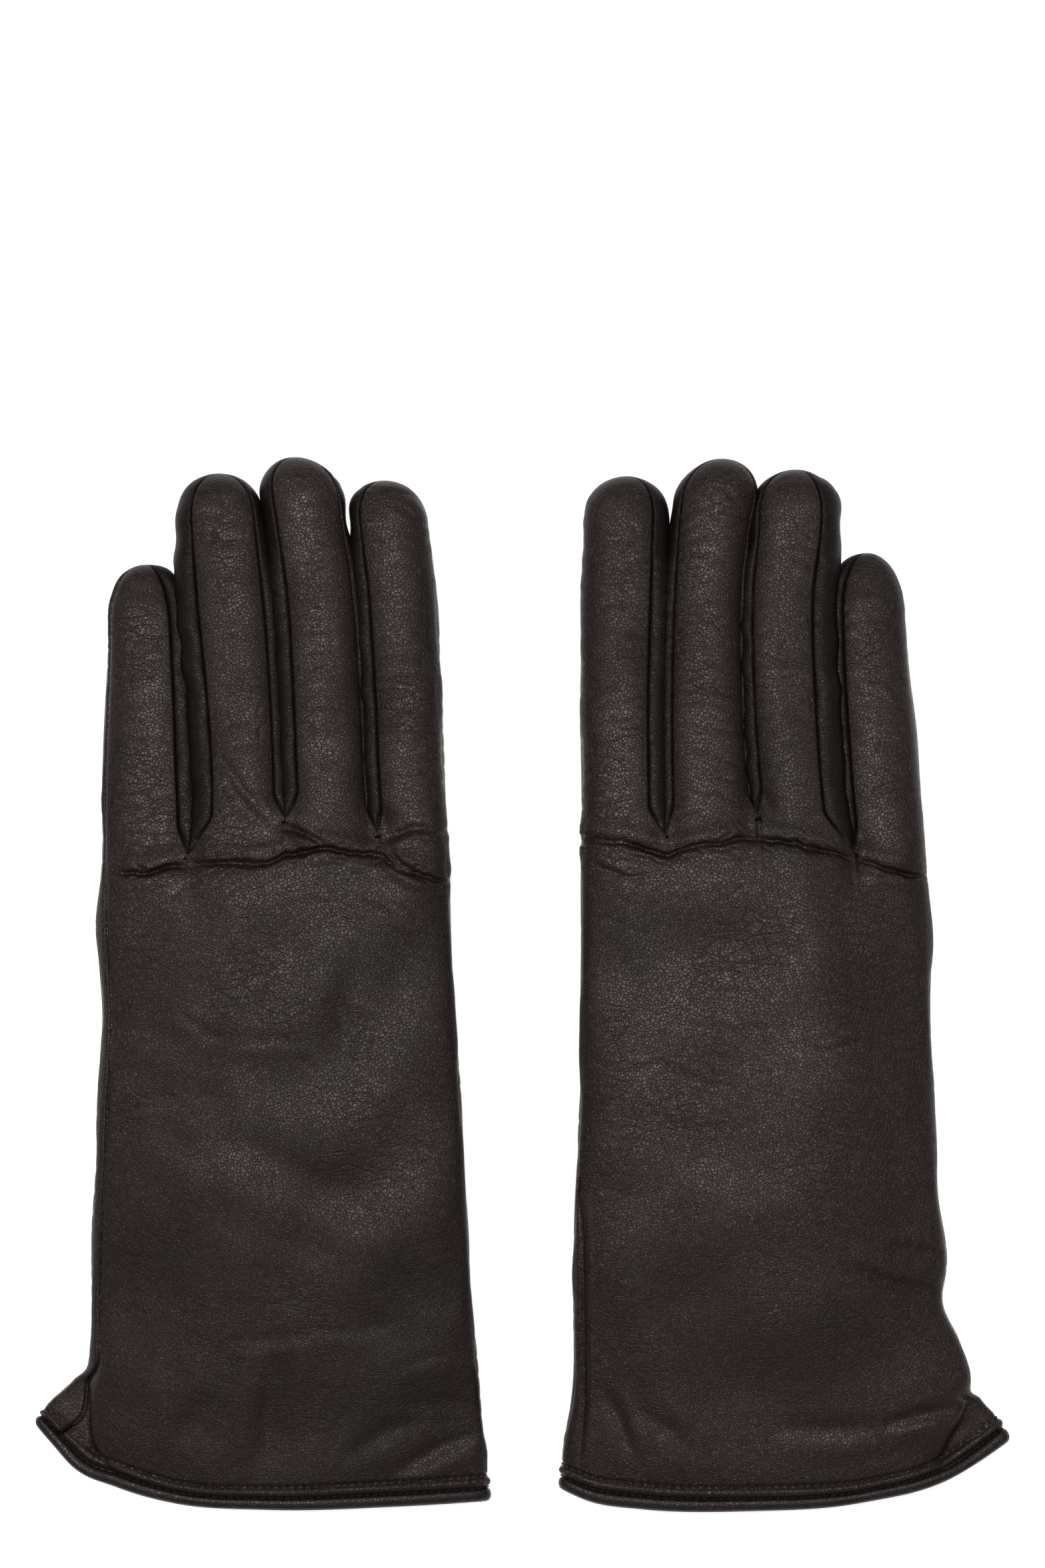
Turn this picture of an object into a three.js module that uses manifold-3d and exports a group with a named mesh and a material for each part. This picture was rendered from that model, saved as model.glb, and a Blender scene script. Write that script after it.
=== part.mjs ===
// A pair of long leather gloves, lying palm down with the thumbs folded in under the palms.
// Millimetres, +Z up, fingers towards +Y, the left-hand glove at -X and the right-hand glove at +X.
//
// Each glove is sewn from a trank (the leather of the hand and of the finger backs and palms),
// fourchettes (the strips between the fingers), a set-in thumb, a cuff in two panels, a folded
// binding round the hem, and a knitted lining inside every leather piece.
// A glove is drawn in its own frame: Y = 0 on the hem, X = 0 on the middle of the hand,
// +X towards the index finger. The right-hand glove is the mirror image of that drawing.
import * as THREE from "three";
import { mergeVertices } from "three/addons/utils/BufferGeometryUtils.js";
import Module from "manifold-3d";

// ---- Materials' thicknesses and clearances ----
const LEATHER = 0.8;
const LINING = 1.0;
const CLEARANCE = 0.3; // left between two pieces that lie on each other
const FINGER_GAP = 0.6; // between two neighbouring fingers

// ---- Overall sizes of one glove ----
const HAND_THICKNESS = 13; // back to palm, outside, of the empty glove
const EDGE_ROUND = 6; // radius of the rounded long edges of hand, cuff and fingers
const HAND_LENGTH = 90; // wrist line to the lowest finger crotch
const CUFF_LENGTH = 76; // wrist line to hem
const WRIST_WIDTH = 95;
const HEM_OUT_INDEX = 52; // half the hem, on the index side
const HEM_OUT_LITTLE = 64; // the other half, out to the corner of the flare
const FLARE_LENGTH = 40; // how far above the hem the flare begins
const FLARE_RISE = 20; // how far the hem climbs to the corner of the flare
const FLARE_RUN = 25; // the width of hem that does the climbing
const PAIR_SPACING = 122; // between the middles of the two hands

// ---- Fingers, from the index side; web is how far the crotch lies beyond the lowest one ----
const FINGERS = [
  { name: "index", width: 20.5, tipWidth: 20.3, length: 90.5, web: 6.5 },
  { name: "middle", width: 22.2, tipWidth: 20.8, length: 93, web: 10 },
  { name: "ring", width: 23, tipWidth: 22.8, length: 88.5, web: 10 },
  { name: "little", width: 22.5, tipWidth: 17.8, length: 76, web: 0 },
];
const TIP_STRETCH = 1.25; // length of a rounded fingertip over half its width
const KNUCKLE_SETBACK = 5; // from the crotch out to the line a finger bends on
const FOURCHETTE = 6; // width of the strip along the side of a finger
const CROTCH_SLIT = 1.2; // width of the cut between two finger roots

// ---- Thumb, folded flat under the palm ----
const THUMB_THICKNESS = 9;
const THUMB_ROUND = 4.2;
const THUMB_LENGTH = 62; // pivot to tip
const THUMB_WIDTH = 25;
const THUMB_BASE_RADIUS = 15;
const THUMB_HOLE_RADIUS = 10.5; // in the palm, where the thumb is set in
const THUMB_OUT = 24; // pivot, from the middle of the hand towards the index side
const THUMB_UP = 32; // pivot, above the wrist line
const THUMB_FOLD = 55; // degrees from straight ahead, across the palm

// ---- Hem binding ----
const BINDING = 0.8;
const BINDING_OUTER_LEG = 3;
const BINDING_INNER_LEG = 7;

// ---- How far things bend, degrees ----
const KNUCKLE_FLEX = 80;
const KNUCKLE_EXTEND = 35;
const WRIST_FLEX = 70;
const WRIST_EXTEND = 60;
const RELIEF_SPARE = 1.5; // added to each relief so that the ends never quite meet

// The two gloves lie a little differently: each finger's lean towards the index side, degrees.
const GLOVES = [
  { side: "left", mirror: 1, lean: { index: -3.3, middle: -4, ring: -3.4, little: -1.3 } },
  { side: "right", mirror: -1, lean: { index: -0.5, middle: 0.1, ring: 0.7, little: 2.8 } },
];

// ---- Facets ----
const ROUND_STEPS = 2; // steps in a rounded edge
const TIP_STEPS = 5; // steps in each half of a fingertip
const HOLE_STEPS = 20;
const CRUMB = 0.01; // mm3, the specks that a cut may leave, which are dropped

// ---- Sizes that follow from the ones above ----
const degrees = THREE.MathUtils.degToRad;
const HALF_THICKNESS = HAND_THICKNESS / 2;
const MID_HEIGHT = THUMB_THICKNESS + CLEARANCE + HALF_THICKNESS; // the hand lies on its thumb
const LINING_SKIN = -(LEATHER + CLEARANCE); // the lining's outside, measured in from the leather's
const LINING_INSIDE = LINING_SKIN - LINING;
const OVERRUN = 24; // how far a piece is drawn past its open end before it is cut to length
const FAR = 120; // past anything in one glove
const PALM_WIDTH = FINGERS.reduce((sum, finger) => sum + finger.width, 0);
const CROTCH_LINE = CUFF_LENGTH + HAND_LENGTH;

const wasm = await Module();
wasm.setup();

// A closed three.js geometry as a manifold-3d solid.
function solid(geometry) {
  const bare = geometry.clone();
  bare.deleteAttribute("normal");
  bare.deleteAttribute("uv");
  const merged = mergeVertices(bare, 1e-4);
  return new wasm.Manifold(
    new wasm.Mesh({
      numProp: 3,
      vertProperties: new Float32Array(merged.attributes.position.array),
      triVerts: new Uint32Array(merged.index.array),
    }),
  );
}

// A manifold-3d solid as a three.js geometry.
function geometryOf(made) {
  const mesh = made.getMesh();
  const geometry = new THREE.BufferGeometry();
  geometry.setAttribute("position", new THREE.BufferAttribute(mesh.vertProperties, 3));
  geometry.setIndex(new THREE.BufferAttribute(mesh.triVerts, 1));
  return geometry.toNonIndexed();
}

// The outline's corners, each kept once.
function cleanOutline(outline) {
  const points = outline.getPoints(TIP_STEPS);
  const kept = points.filter((point, i) => point.distanceTo(points.at(i - 1)) > 0.01);
  return new THREE.Shape(kept);
}

// A flat outline swelled to a slab with round edges; grow moves its whole surface out or in.
function slab(outline, grow, thickness = HAND_THICKNESS, round = EDGE_ROUND) {
  const depth = thickness - 2 * round;
  const geometry = new THREE.ExtrudeGeometry(cleanOutline(outline), {
    depth,
    bevelThickness: round + grow,
    bevelSize: round + grow,
    bevelOffset: -round,
    bevelSegments: ROUND_STEPS,
  });
  geometry.translate(0, 0, -depth / 2);
  return solid(geometry);
}

// The wall of a slab between two growths of the same outline.
function sleeve(outline, outside, inside, thickness, round) {
  return slab(outline, outside, thickness, round).subtract(slab(outline, inside, thickness, round));
}

function block(x, y, z, width, length, height) {
  return solid(new THREE.BoxGeometry(width, length, height).translate(x, y, z));
}

// An outline in the plan, as an upright prism through everything.
function prism(points) {
  const shape = new THREE.Shape(points.map(([x, y]) => new THREE.Vector2(x, y)));
  const geometry = new THREE.ExtrudeGeometry(shape, { depth: FAR, bevelEnabled: false });
  return solid(geometry.translate(0, 0, -FAR / 2));
}

// What has to go beside a bending line along X so that the piece can fold: everything from the
// line towards `towards` (+1 is +Y), and a wedge under and over the piece that is left.
function bendRelief(towards, left, right, downAngle, upAngle) {
  const height = HAND_THICKNESS;
  const below = height * Math.tan(degrees(downAngle));
  const above = height * Math.tan(degrees(upAngle));
  const start = CLEARANCE / 2;
  const profile = new THREE.Shape([
    new THREE.Vector2(start, 0),
    new THREE.Vector2(start + below, -height),
    new THREE.Vector2(-2 * OVERRUN, -height),
    new THREE.Vector2(-2 * OVERRUN, height),
    new THREE.Vector2(start + above, height),
  ]);
  const geometry = new THREE.ExtrudeGeometry(profile, { depth: right - left, bevelEnabled: false });
  // The profile's own x is the way along the piece and its y is height; the depth becomes X.
  geometry.applyMatrix4(new THREE.Matrix4().makeBasis(
    new THREE.Vector3(0, 1, 0),
    new THREE.Vector3(0, 0, 1),
    new THREE.Vector3(1, 0, 0),
  ));
  geometry.translate(left, 0, 0);
  if (towards > 0) geometry.rotateZ(Math.PI).translate(left + right, 0, 0);
  return solid(geometry);
}

// The pitch that lets a piece hinged at MID_HEIGHT come down to the table: `along` and `under`
// give the centre of the round that touches, from the hinge, and `round` is its radius.
function droopOf(along, under, round) {
  return Math.asin((MID_HEIGHT - round) / Math.hypot(along, under)) - Math.atan2(under, along);
}

// Where each finger sits: the middle of its root, its bending line and its droop.
function fingerPlaces() {
  let edge = PALM_WIDTH / 2;
  return FINGERS.map((finger) => {
    const reach = finger.length - KNUCKLE_SETBACK;
    const place = {
      ...finger,
      reach,
      indexEdge: edge,
      littleEdge: edge - finger.width,
      x: edge - finger.width / 2,
      y: CROTCH_LINE + finger.web + KNUCKLE_SETBACK,
      droop: droopOf(reach - EDGE_ROUND, HALF_THICKNESS - EDGE_ROUND, EDGE_ROUND),
    };
    edge -= finger.width;
    return place;
  });
}

const PLACES = fingerPlaces();
const CUFF_SKIN = CLEARANCE + BINDING; // how far the binding stands out from the cuff's leather
const CUFF_DROOP = droopOf(CUFF_LENGTH + CUFF_SKIN, HALF_THICKNESS + CUFF_SKIN, 0);

// ---- Outlines in the plan ----
function fingerOutline(finger) {
  const half = (finger.width - FINGER_GAP) / 2;
  const tipHalf = (finger.tipWidth - FINGER_GAP) / 2;
  const tip = TIP_STRETCH * tipHalf;
  const outline = new THREE.Shape();
  outline.moveTo(half, -OVERRUN);
  outline.lineTo(half, 0);
  outline.absellipse(0, finger.reach - tip, tipHalf, tip, 0, Math.PI, false);
  outline.lineTo(-half, 0);
  outline.lineTo(-half, -OVERRUN);
  outline.closePath();
  return outline;
}

function handOutline() {
  const half = PALM_WIDTH / 2;
  const top = Math.max(...PLACES.map((place) => place.y)) + OVERRUN;
  const outline = new THREE.Shape();
  outline.moveTo(WRIST_WIDTH / 2, CUFF_LENGTH - OVERRUN);
  outline.lineTo(WRIST_WIDTH / 2, CUFF_LENGTH);
  outline.lineTo(half, CROTCH_LINE);
  outline.lineTo(half, top);
  outline.lineTo(-half, top);
  outline.lineTo(-half, CROTCH_LINE);
  outline.lineTo(-WRIST_WIDTH / 2, CUFF_LENGTH);
  outline.lineTo(-WRIST_WIDTH / 2, CUFF_LENGTH - OVERRUN);
  outline.closePath();
  return outline;
}

// Drawn from the wrist: Y = 0 is the wrist line and the hem is at -CUFF_LENGTH.
function cuffOutline() {
  const half = WRIST_WIDTH / 2;
  const hem = -CUFF_LENGTH;
  const outline = new THREE.Shape();
  outline.moveTo(half, OVERRUN);
  outline.lineTo(-half, OVERRUN);
  outline.lineTo(-half, 0);
  outline.lineTo(-half, hem + FLARE_LENGTH);
  outline.lineTo(-HEM_OUT_LITTLE, hem + FLARE_RISE);
  outline.lineTo(-HEM_OUT_LITTLE, hem - OVERRUN);
  outline.lineTo(HEM_OUT_INDEX, hem - OVERRUN);
  outline.lineTo(HEM_OUT_INDEX, hem);
  outline.lineTo(half, 0);
  outline.closePath();
  return outline;
}

// Everything past the hem line, which climbs to the corner of the flare; up moves the line.
function pastHem(up) {
  const hem = -CUFF_LENGTH + up;
  const climb = HEM_OUT_LITTLE - FLARE_RUN;
  const slope = FLARE_RISE / FLARE_RUN;
  return prism([
    [-climb, hem],
    [-FAR, hem + (FAR - climb) * slope],
    [-FAR, hem - FAR],
    [FAR, hem - FAR],
    [FAR, hem],
  ]);
}

function thumbOutline() {
  const half = THUMB_WIDTH / 2;
  const tip = TIP_STRETCH * half;
  const outline = new THREE.Shape();
  outline.absellipse(0, THUMB_LENGTH - tip, half, tip, 0, Math.PI, false);
  outline.absarc(0, 0, THUMB_BASE_RADIUS, Math.PI, 2 * Math.PI, false);
  outline.closePath();
  return outline;
}

// ---- Materials ----
const leather = new THREE.MeshStandardMaterial({ color: 0x2b2624, roughness: 0.45, metalness: 0 });
const edgeLeather = new THREE.MeshStandardMaterial({ color: 0x221e1d, roughness: 0.4, metalness: 0 });
const knit = new THREE.MeshStandardMaterial({ color: 0x1c1a1a, roughness: 0.95, metalness: 0 });

function piece(name, material, made) {
  const bodies = made.decompose().filter((body) => Math.abs(body.volume()) > CRUMB);
  const mesh = new THREE.Mesh(geometryOf(wasm.Manifold.compose(bodies)), material);
  mesh.name = name;
  return mesh;
}

// ---- One finger: its leather strips and its lining, drawn from its bending line ----
function fingerBody(side, place, lean) {
  const outline = fingerOutline(place);
  const relief = bendRelief(
    -1,
    -place.width,
    place.width,
    (KNUCKLE_FLEX + THREE.MathUtils.radToDeg(place.droop)) / 2 + RELIEF_SPARE,
    KNUCKLE_EXTEND / 2 + RELIEF_SPARE,
  );
  const skin = sleeve(outline, 0, -LEATHER).subtract(relief);
  const half = FOURCHETTE / 2;
  const length = 4 * place.length;
  // The band along one side of the finger, +1 for the index side, that its fourchette fills.
  const band = (sign, height) =>
    block((sign * FAR) / 2, 0, 0, FAR, length, height);
  const above = block(0, 0, FAR / 2 + CLEARANCE / 2, FAR, length, FAR);
  const below = block(0, 0, -FAR / 2 - CLEARANCE / 2, FAR, length, FAR);
  const cutBand = (sign) => band(sign, 2 * half + CLEARANCE);
  const fourchette = (sign) =>
    skin
      .intersect(band(sign, 2 * half - CLEARANCE))
      .subtract(block((-sign * FAR) / 2 + (sign * CLEARANCE) / 2, 0, 0, FAR, length, FAR));
  const name = `${side}_${place.name}`;
  const group = new THREE.Group();
  group.name = `${name}_knuckle`;

  if (place.name === "index") {
    // Back and palm of the index finger are one strip, folded along its outer side.
    group.add(piece(`${name}_trank`, leather, skin.subtract(cutBand(-1))));
    group.add(piece(`${name}_fourchette`, leather, fourchette(-1)));
  } else if (place.name === "little") {
    // The outseam joins back and palm along the outer side of the little finger.
    const strips = skin.subtract(cutBand(1));
    group.add(piece(`${name}_back`, leather, strips.intersect(above)));
    group.add(piece(`${name}_palm`, leather, strips.intersect(below)));
    group.add(piece(`${name}_fourchette`, leather, fourchette(1)));
  } else {
    const strips = skin.subtract(cutBand(1)).subtract(cutBand(-1));
    group.add(piece(`${name}_back`, leather, strips.intersect(above)));
    group.add(piece(`${name}_palm`, leather, strips.intersect(below)));
    const [indexSide, littleSide] = place.name === "middle" ? ["index", "ring"] : ["middle", "little"];
    group.add(piece(`${name}_fourchette_${indexSide}_side`, leather, fourchette(1)));
    group.add(piece(`${name}_fourchette_${littleSide}_side`, leather, fourchette(-1)));
  }
  const liner = sleeve(outline, LINING_SKIN, LINING_INSIDE).subtract(relief);
  group.add(piece(`${name}_lining`, knit, liner));

  group.position.set(place.x, place.y, MID_HEIGHT);
  group.rotation.set(-place.droop, 0, -degrees(lean), "ZYX");
  return group;
}

// ---- The hand: the trank, open at the outseam, and its lining ----
function handBody(side, leans) {
  const outline = handOutline();
  const cuffRelief = bendRelief(
    -1,
    -FAR,
    FAR,
    (WRIST_FLEX + THREE.MathUtils.radToDeg(CUFF_DROOP)) / 2 + RELIEF_SPARE,
    WRIST_EXTEND / 2 + RELIEF_SPARE,
  ).translate([0, CUFF_LENGTH, 0]);
  const cuts = PLACES.map((place, i) => {
    const spare = CLEARANCE;
    const left = i === PLACES.length - 1 ? -FAR / 2 : place.littleEdge - place.x - spare;
    const right = i === 0 ? FAR / 2 : place.indexEdge - place.x + spare;
    return bendRelief(
      1,
      left,
      right,
      (KNUCKLE_FLEX + THREE.MathUtils.radToDeg(place.droop)) / 2 + RELIEF_SPARE,
      KNUCKLE_EXTEND / 2 + RELIEF_SPARE,
    )
      .rotate([0, 0, -leans[place.name]])
      .translate([place.x, place.y, 0]);
  });
  // The slits between the finger roots, from the crotch forwards.
  PLACES.slice(1).forEach((place, i) => {
    const crotch = CROTCH_LINE + Math.min(place.web, PLACES[i].web);
    cuts.push(block(place.indexEdge, crotch + OVERRUN / 2, 0, CROTCH_SLIT, OVERRUN, FAR));
  });
  const thumbHole = solid(
    new THREE.CylinderGeometry(THUMB_HOLE_RADIUS, THUMB_HOLE_RADIUS, HAND_THICKNESS, HOLE_STEPS)
      .rotateX(Math.PI / 2)
      .translate(THUMB_OUT, CUFF_LENGTH + THUMB_UP, -HALF_THICKNESS),
  );
  const outseam = block(-FAR / 2, CROTCH_LINE, 0, FAR, 4 * FAR, CLEARANCE);
  const cut = (made) => [cuffRelief, ...cuts, thumbHole].reduce((left, tool) => left.subtract(tool), made);
  const group = new THREE.Group();
  group.name = `${side}_hand`;
  group.add(piece(`${side}_hand_trank`, leather, cut(sleeve(outline, 0, -LEATHER)).subtract(outseam)));
  group.add(piece(`${side}_hand_lining`, knit, cut(sleeve(outline, LINING_SKIN, LINING_INSIDE))));
  group.position.z = MID_HEIGHT;
  return group;
}

// ---- The cuff: back and palm panels, lining, and the binding folded over the hem ----
function cuffBody(side) {
  const outline = cuffOutline();
  const relief = bendRelief(
    1,
    -FAR,
    FAR,
    (WRIST_FLEX + THREE.MathUtils.radToDeg(CUFF_DROOP)) / 2 + RELIEF_SPARE,
    WRIST_EXTEND / 2 + RELIEF_SPARE,
  );
  const hem = pastHem(0);
  const panels = sleeve(outline, 0, -LEATHER).subtract(relief).subtract(hem);
  const above = block(0, 0, FAR / 2 + CLEARANCE / 2, 4 * FAR, 4 * FAR, FAR);
  const below = block(0, 0, -FAR / 2 - CLEARANCE / 2, 4 * FAR, 4 * FAR, FAR);
  const liner = sleeve(outline, LINING_SKIN, LINING_INSIDE).subtract(relief).subtract(hem);

  // The binding is a strip folded over both edges: an outer leg, the fold, and an inner leg.
  const bindingInside = LINING_INSIDE - CLEARANCE;
  const outerLeg = sleeve(outline, CUFF_SKIN, CLEARANCE).subtract(invert(pastHem(BINDING_OUTER_LEG)));
  const innerLeg = sleeve(outline, bindingInside, bindingInside - BINDING)
    .subtract(invert(pastHem(BINDING_INNER_LEG)));
  const fold = sleeve(outline, CUFF_SKIN, bindingInside - BINDING)
    .subtract(invert(pastHem(-CLEARANCE)));
  const binding = outerLeg.add(innerLeg).add(fold).subtract(pastHem(-CUFF_SKIN));

  const group = new THREE.Group();
  group.name = `${side}_wrist`;
  group.add(piece(`${side}_cuff_back`, leather, panels.intersect(above)));
  group.add(piece(`${side}_cuff_palm`, leather, panels.intersect(below)));
  group.add(piece(`${side}_cuff_lining`, knit, liner));
  group.add(piece(`${side}_hem_binding`, edgeLeather, binding));
  group.position.set(0, CUFF_LENGTH, MID_HEIGHT);
  group.rotation.x = CUFF_DROOP;
  return group;
}

// Everything in a big block that a tool leaves.
function invert(tool) {
  return block(0, 0, 0, 4 * FAR, 4 * FAR, FAR).subtract(tool);
}

// ---- The thumb, drawn from its pivot, open at the top of its base into the palm ----
function thumbBody(side) {
  const outline = thumbOutline();
  const hole = solid(
    new THREE.CylinderGeometry(THUMB_HOLE_RADIUS, THUMB_HOLE_RADIUS, THUMB_THICKNESS, HOLE_STEPS)
      .rotateX(Math.PI / 2)
      .translate(0, 0, THUMB_THICKNESS / 2),
  );
  const shell = (outside, inside) =>
    sleeve(outline, outside, inside, THUMB_THICKNESS, THUMB_ROUND).subtract(hole);
  const group = new THREE.Group();
  group.name = `${side}_thumb_swing`;
  group.add(piece(`${side}_thumb_leather`, leather, shell(0, -LEATHER)));
  group.add(piece(`${side}_thumb_lining`, knit, shell(LINING_SKIN, LINING_INSIDE)));
  group.position.set(THUMB_OUT, CUFF_LENGTH + THUMB_UP, THUMB_THICKNESS / 2);
  group.rotation.z = degrees(THUMB_FOLD);
  return group;
}

function glove({ side, mirror, lean }) {
  const group = new THREE.Group();
  group.add(handBody(side, lean));
  group.add(cuffBody(side));
  group.add(thumbBody(side));
  PLACES.forEach((place) => group.add(fingerBody(side, place, lean[place.name])));
  group.scale.x = mirror;
  group.position.x = (-mirror * PAIR_SPACING) / 2;
  return group;
}

// The pair, moved so that its box stands on Z = 0 with X = Y = 0 at the middle.
const pair = new THREE.Group();
GLOVES.forEach((spec) => pair.add(glove(spec)));
pair.updateMatrixWorld(true);
const box = new THREE.Box3().setFromObject(pair, true);
const middle = box.getCenter(new THREE.Vector3());
pair.position.set(-middle.x, -middle.y, -box.min.z);

export default pair;
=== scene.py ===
# %% [markdown]
# # A pair of leather gloves
# Two lined leather gloves lie side by side, backs up, with their thumbs folded in under the palms.
# Each one is sewn from flat leather: a trank (hand, finger backs and finger palms), fourchettes
# (the strips between the fingers), a thumb, a cuff and a binding round the hem.
# An empty glove is a set of flattened tubes, so every panel here is a grid that is wrapped
# round a tube, rolled in along its seams and then wrinkled.

# %% Load the frame
import math

import bmesh
import bpy
import numpy as np
from mathutils import Matrix, Vector


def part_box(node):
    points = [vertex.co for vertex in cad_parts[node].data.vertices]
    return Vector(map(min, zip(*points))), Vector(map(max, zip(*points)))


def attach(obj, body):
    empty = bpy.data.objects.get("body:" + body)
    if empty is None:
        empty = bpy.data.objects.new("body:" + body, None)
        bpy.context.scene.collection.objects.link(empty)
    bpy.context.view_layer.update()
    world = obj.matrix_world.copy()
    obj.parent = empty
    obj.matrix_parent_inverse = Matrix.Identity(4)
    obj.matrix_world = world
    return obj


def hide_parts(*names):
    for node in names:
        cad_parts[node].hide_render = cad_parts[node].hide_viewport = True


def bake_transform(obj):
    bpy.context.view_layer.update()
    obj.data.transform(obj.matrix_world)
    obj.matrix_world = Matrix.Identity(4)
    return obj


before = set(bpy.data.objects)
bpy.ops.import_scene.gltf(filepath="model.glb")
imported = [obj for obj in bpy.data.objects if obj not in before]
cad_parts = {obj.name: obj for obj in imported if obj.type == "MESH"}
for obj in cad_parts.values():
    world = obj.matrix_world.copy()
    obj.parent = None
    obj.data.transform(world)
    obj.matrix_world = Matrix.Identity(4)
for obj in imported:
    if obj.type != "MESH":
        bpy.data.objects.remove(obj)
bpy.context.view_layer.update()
MM = 0.001

# %% [markdown]
# ## The drawing of each glove
# A glove is drawn in millimetres in its own space: x runs from the little finger to the index
# finger with 0 in the middle of the hand, y runs towards the fingertips as in the frame, and z
# is height. The right-hand glove is mirrored when its points are placed. The two gloves are
# the same size but lie a little differently, so each has its own outline, given by a few
# stations that a smooth curve runs through.

# %% Outlines of the two gloves
WRIST_Y = -57.5
HEM_Y = -134.0
ROOT_Y = 40.0
CROTCH_ORDER = ("little", "ring", "middle", "index")

OUTLINES = {
    "left": {
        "mirror": 1,
        "little_edge": [
            (-134, -39), (-121, -47.5), (-110, -49.6), (-90, -49.6), (-62, -48.9), (-35, -47.6),
            (0, -46.3), (26, -47.4), (47, -46.5),
        ],
        "index_edge": [
            (-134, 52.4), (-110, 50.7), (-90, 48.7), (-62, 47.1), (-35, 45.6), (0, 43.8),
            (26, 42.5), (47, 41.7),
        ],
        "flap_edge": [
            (-134, -63.8), (-123.4, -60.9), (-112.3, -55.9), (-106.3, -52.9), (-100, -50.4),
            (-96, -49.6),
        ],
        "fold": [
            (-49.9, -96), (-49.8, -104), (-49.6, -114), (-49.2, -117), (-47.5, -120.5),
            (-43.1, -124.4), (-36, -129.6), (-33, -132),
        ],
        "hem": [
            (-64, -113), (-58.8, -118.8), (-54.7, -123.3), (-43, -128.8), (-29.7, -132.6),
            (-4.2, -134.5), (30, -133.6), (52.4, -132.4),
        ],
        "root_line": [(-47, 30), (-24.1, 31.8), (0.7, 40.8), (24.2, 37.1), (42, 35)],
        "outseam": 0.945,
        "fingers": {
            "index": {
                "stations": [
                    (37, 33.2, 9.3), (46.8, 32.1, 9.6), (74, 30.6, 9.8), (101, 28.9, 10.1),
                    (117, 26.9, 10.2),
                ],
                "tip": (25.6, 128.6), "tip_length": 10.6,
                "seams": {"little": 0.73},
            },
            "middle": {
                "stations": [
                    (37, 12.2, 11.4), (46.8, 11.4, 11.05), (74, 10, 10.8), (101, 8, 10.7),
                    (117, 5.6, 10.7),
                ],
                "tip": (2.8, 134.6), "tip_length": 10.6,
                "seams": {"little": 0.69, "index": 0.9},
            },
            "ring": {
                "stations": [
                    (37, -11.4, 12.2), (46.8, -10.9, 11.3), (74, -12, 11.2), (101, -14.7, 11.8),
                    (117, -16.2, 11.4),
                ],
                "tip": (-16.9, 130.4), "tip_length": 11.6,
                "seams": {"little": 0.64, "index": 0.79},
            },
            "little": {
                "stations": [
                    (31, -35.6, 11.5), (46.8, -34.2, 12.2), (60.4, -34.5, 11.8),
                    (87.6, -35, 10.3), (95, -35.3, 9.9),
                ],
                "tip": (-35.8, 107), "tip_length": 16.5,
                "seams": {"index": 0.62},
            },
        },
    },
    "right": {
        "mirror": -1,
        "little_edge": [
            (-134, -44.5), (-121, -50.5), (-108, -53.5), (-96, -50.9), (-84, -46.6),
            (-73, -47.4), (-55, -45.3), (-28, -44.1), (0, -43.1), (26, -43), (47, -41),
        ],
        "index_edge": [
            (-134, 51.2), (-121, 50.4), (-112, 48.7), (-84, 48.2), (-55, 47.7), (-28, 46.4),
            (0, 46.2), (26, 46.1), (47, 46.2),
        ],
        "flap_edge": [
            (-134, -63.8), (-123.2, -60.2), (-117.4, -57.2), (-107.7, -53.2), (-96, -50.9),
        ],
        "fold": [
            (-51, -96), (-53.2, -103.5), (-53.4, -107), (-50, -114), (-46.8, -120),
            (-44.6, -123), (-41.5, -127), (-38, -130.5),
        ],
        "hem": [
            (-64, -117), (-57, -121.8), (-49.4, -126.3), (-25.4, -132.8), (2.6, -134.8),
            (30.7, -134.3), (44, -132.4), (51.2, -129.5),
        ],
        "root_line": [(-43, 29.5), (-23.6, 32), (1.1, 41.3), (24.7, 37.1), (46.2, 35)],
        "outseam": -0.98,
        "fingers": {
            "index": {
                "stations": [
                    (37, 35.5, 10.8), (46.8, 35.5, 10.6), (74, 35.7, 10.6), (101, 35.2, 11),
                    (117, 34.6, 11),
                ],
                "tip": (34.2, 129.7), "tip_length": 11,
                "seams": {"little": 0.64},
            },
            "middle": {
                "stations": [
                    (37, 13, 11.8), (46.8, 13.7, 11.2), (74, 14.6, 10.4), (101, 14.1, 9.95),
                    (117, 12.6, 10.5),
                ],
                "tip": (9.9, 134.2), "tip_length": 10.8,
                "seams": {"little": 0.93, "index": 0.81},
            },
            "ring": {
                "stations": [
                    (37, -11, 12.3), (46.8, -9.5, 11.8), (74, -7.4, 11.5), (101, -7.1, 11.2),
                    (117, -8.9, 11.6),
                ],
                "tip": (-9, 131.4), "tip_length": 11.6,
                "seams": {"little": 0.55, "index": 0.83},
            },
            "little": {
                "stations": [
                    (31, -33.2, 9.6), (46.8, -31.5, 10.1), (74, -29.1, 10.1), (87.6, -28, 9.7),
                    (96, -27.6, 9.4),
                ],
                "tip": (-27.4, 110), "tip_length": 16,
                "seams": {"index": 0.74},
            },
        },
    },
}
print("fingers on each glove:", ", ".join(CROTCH_ORDER))

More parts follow.
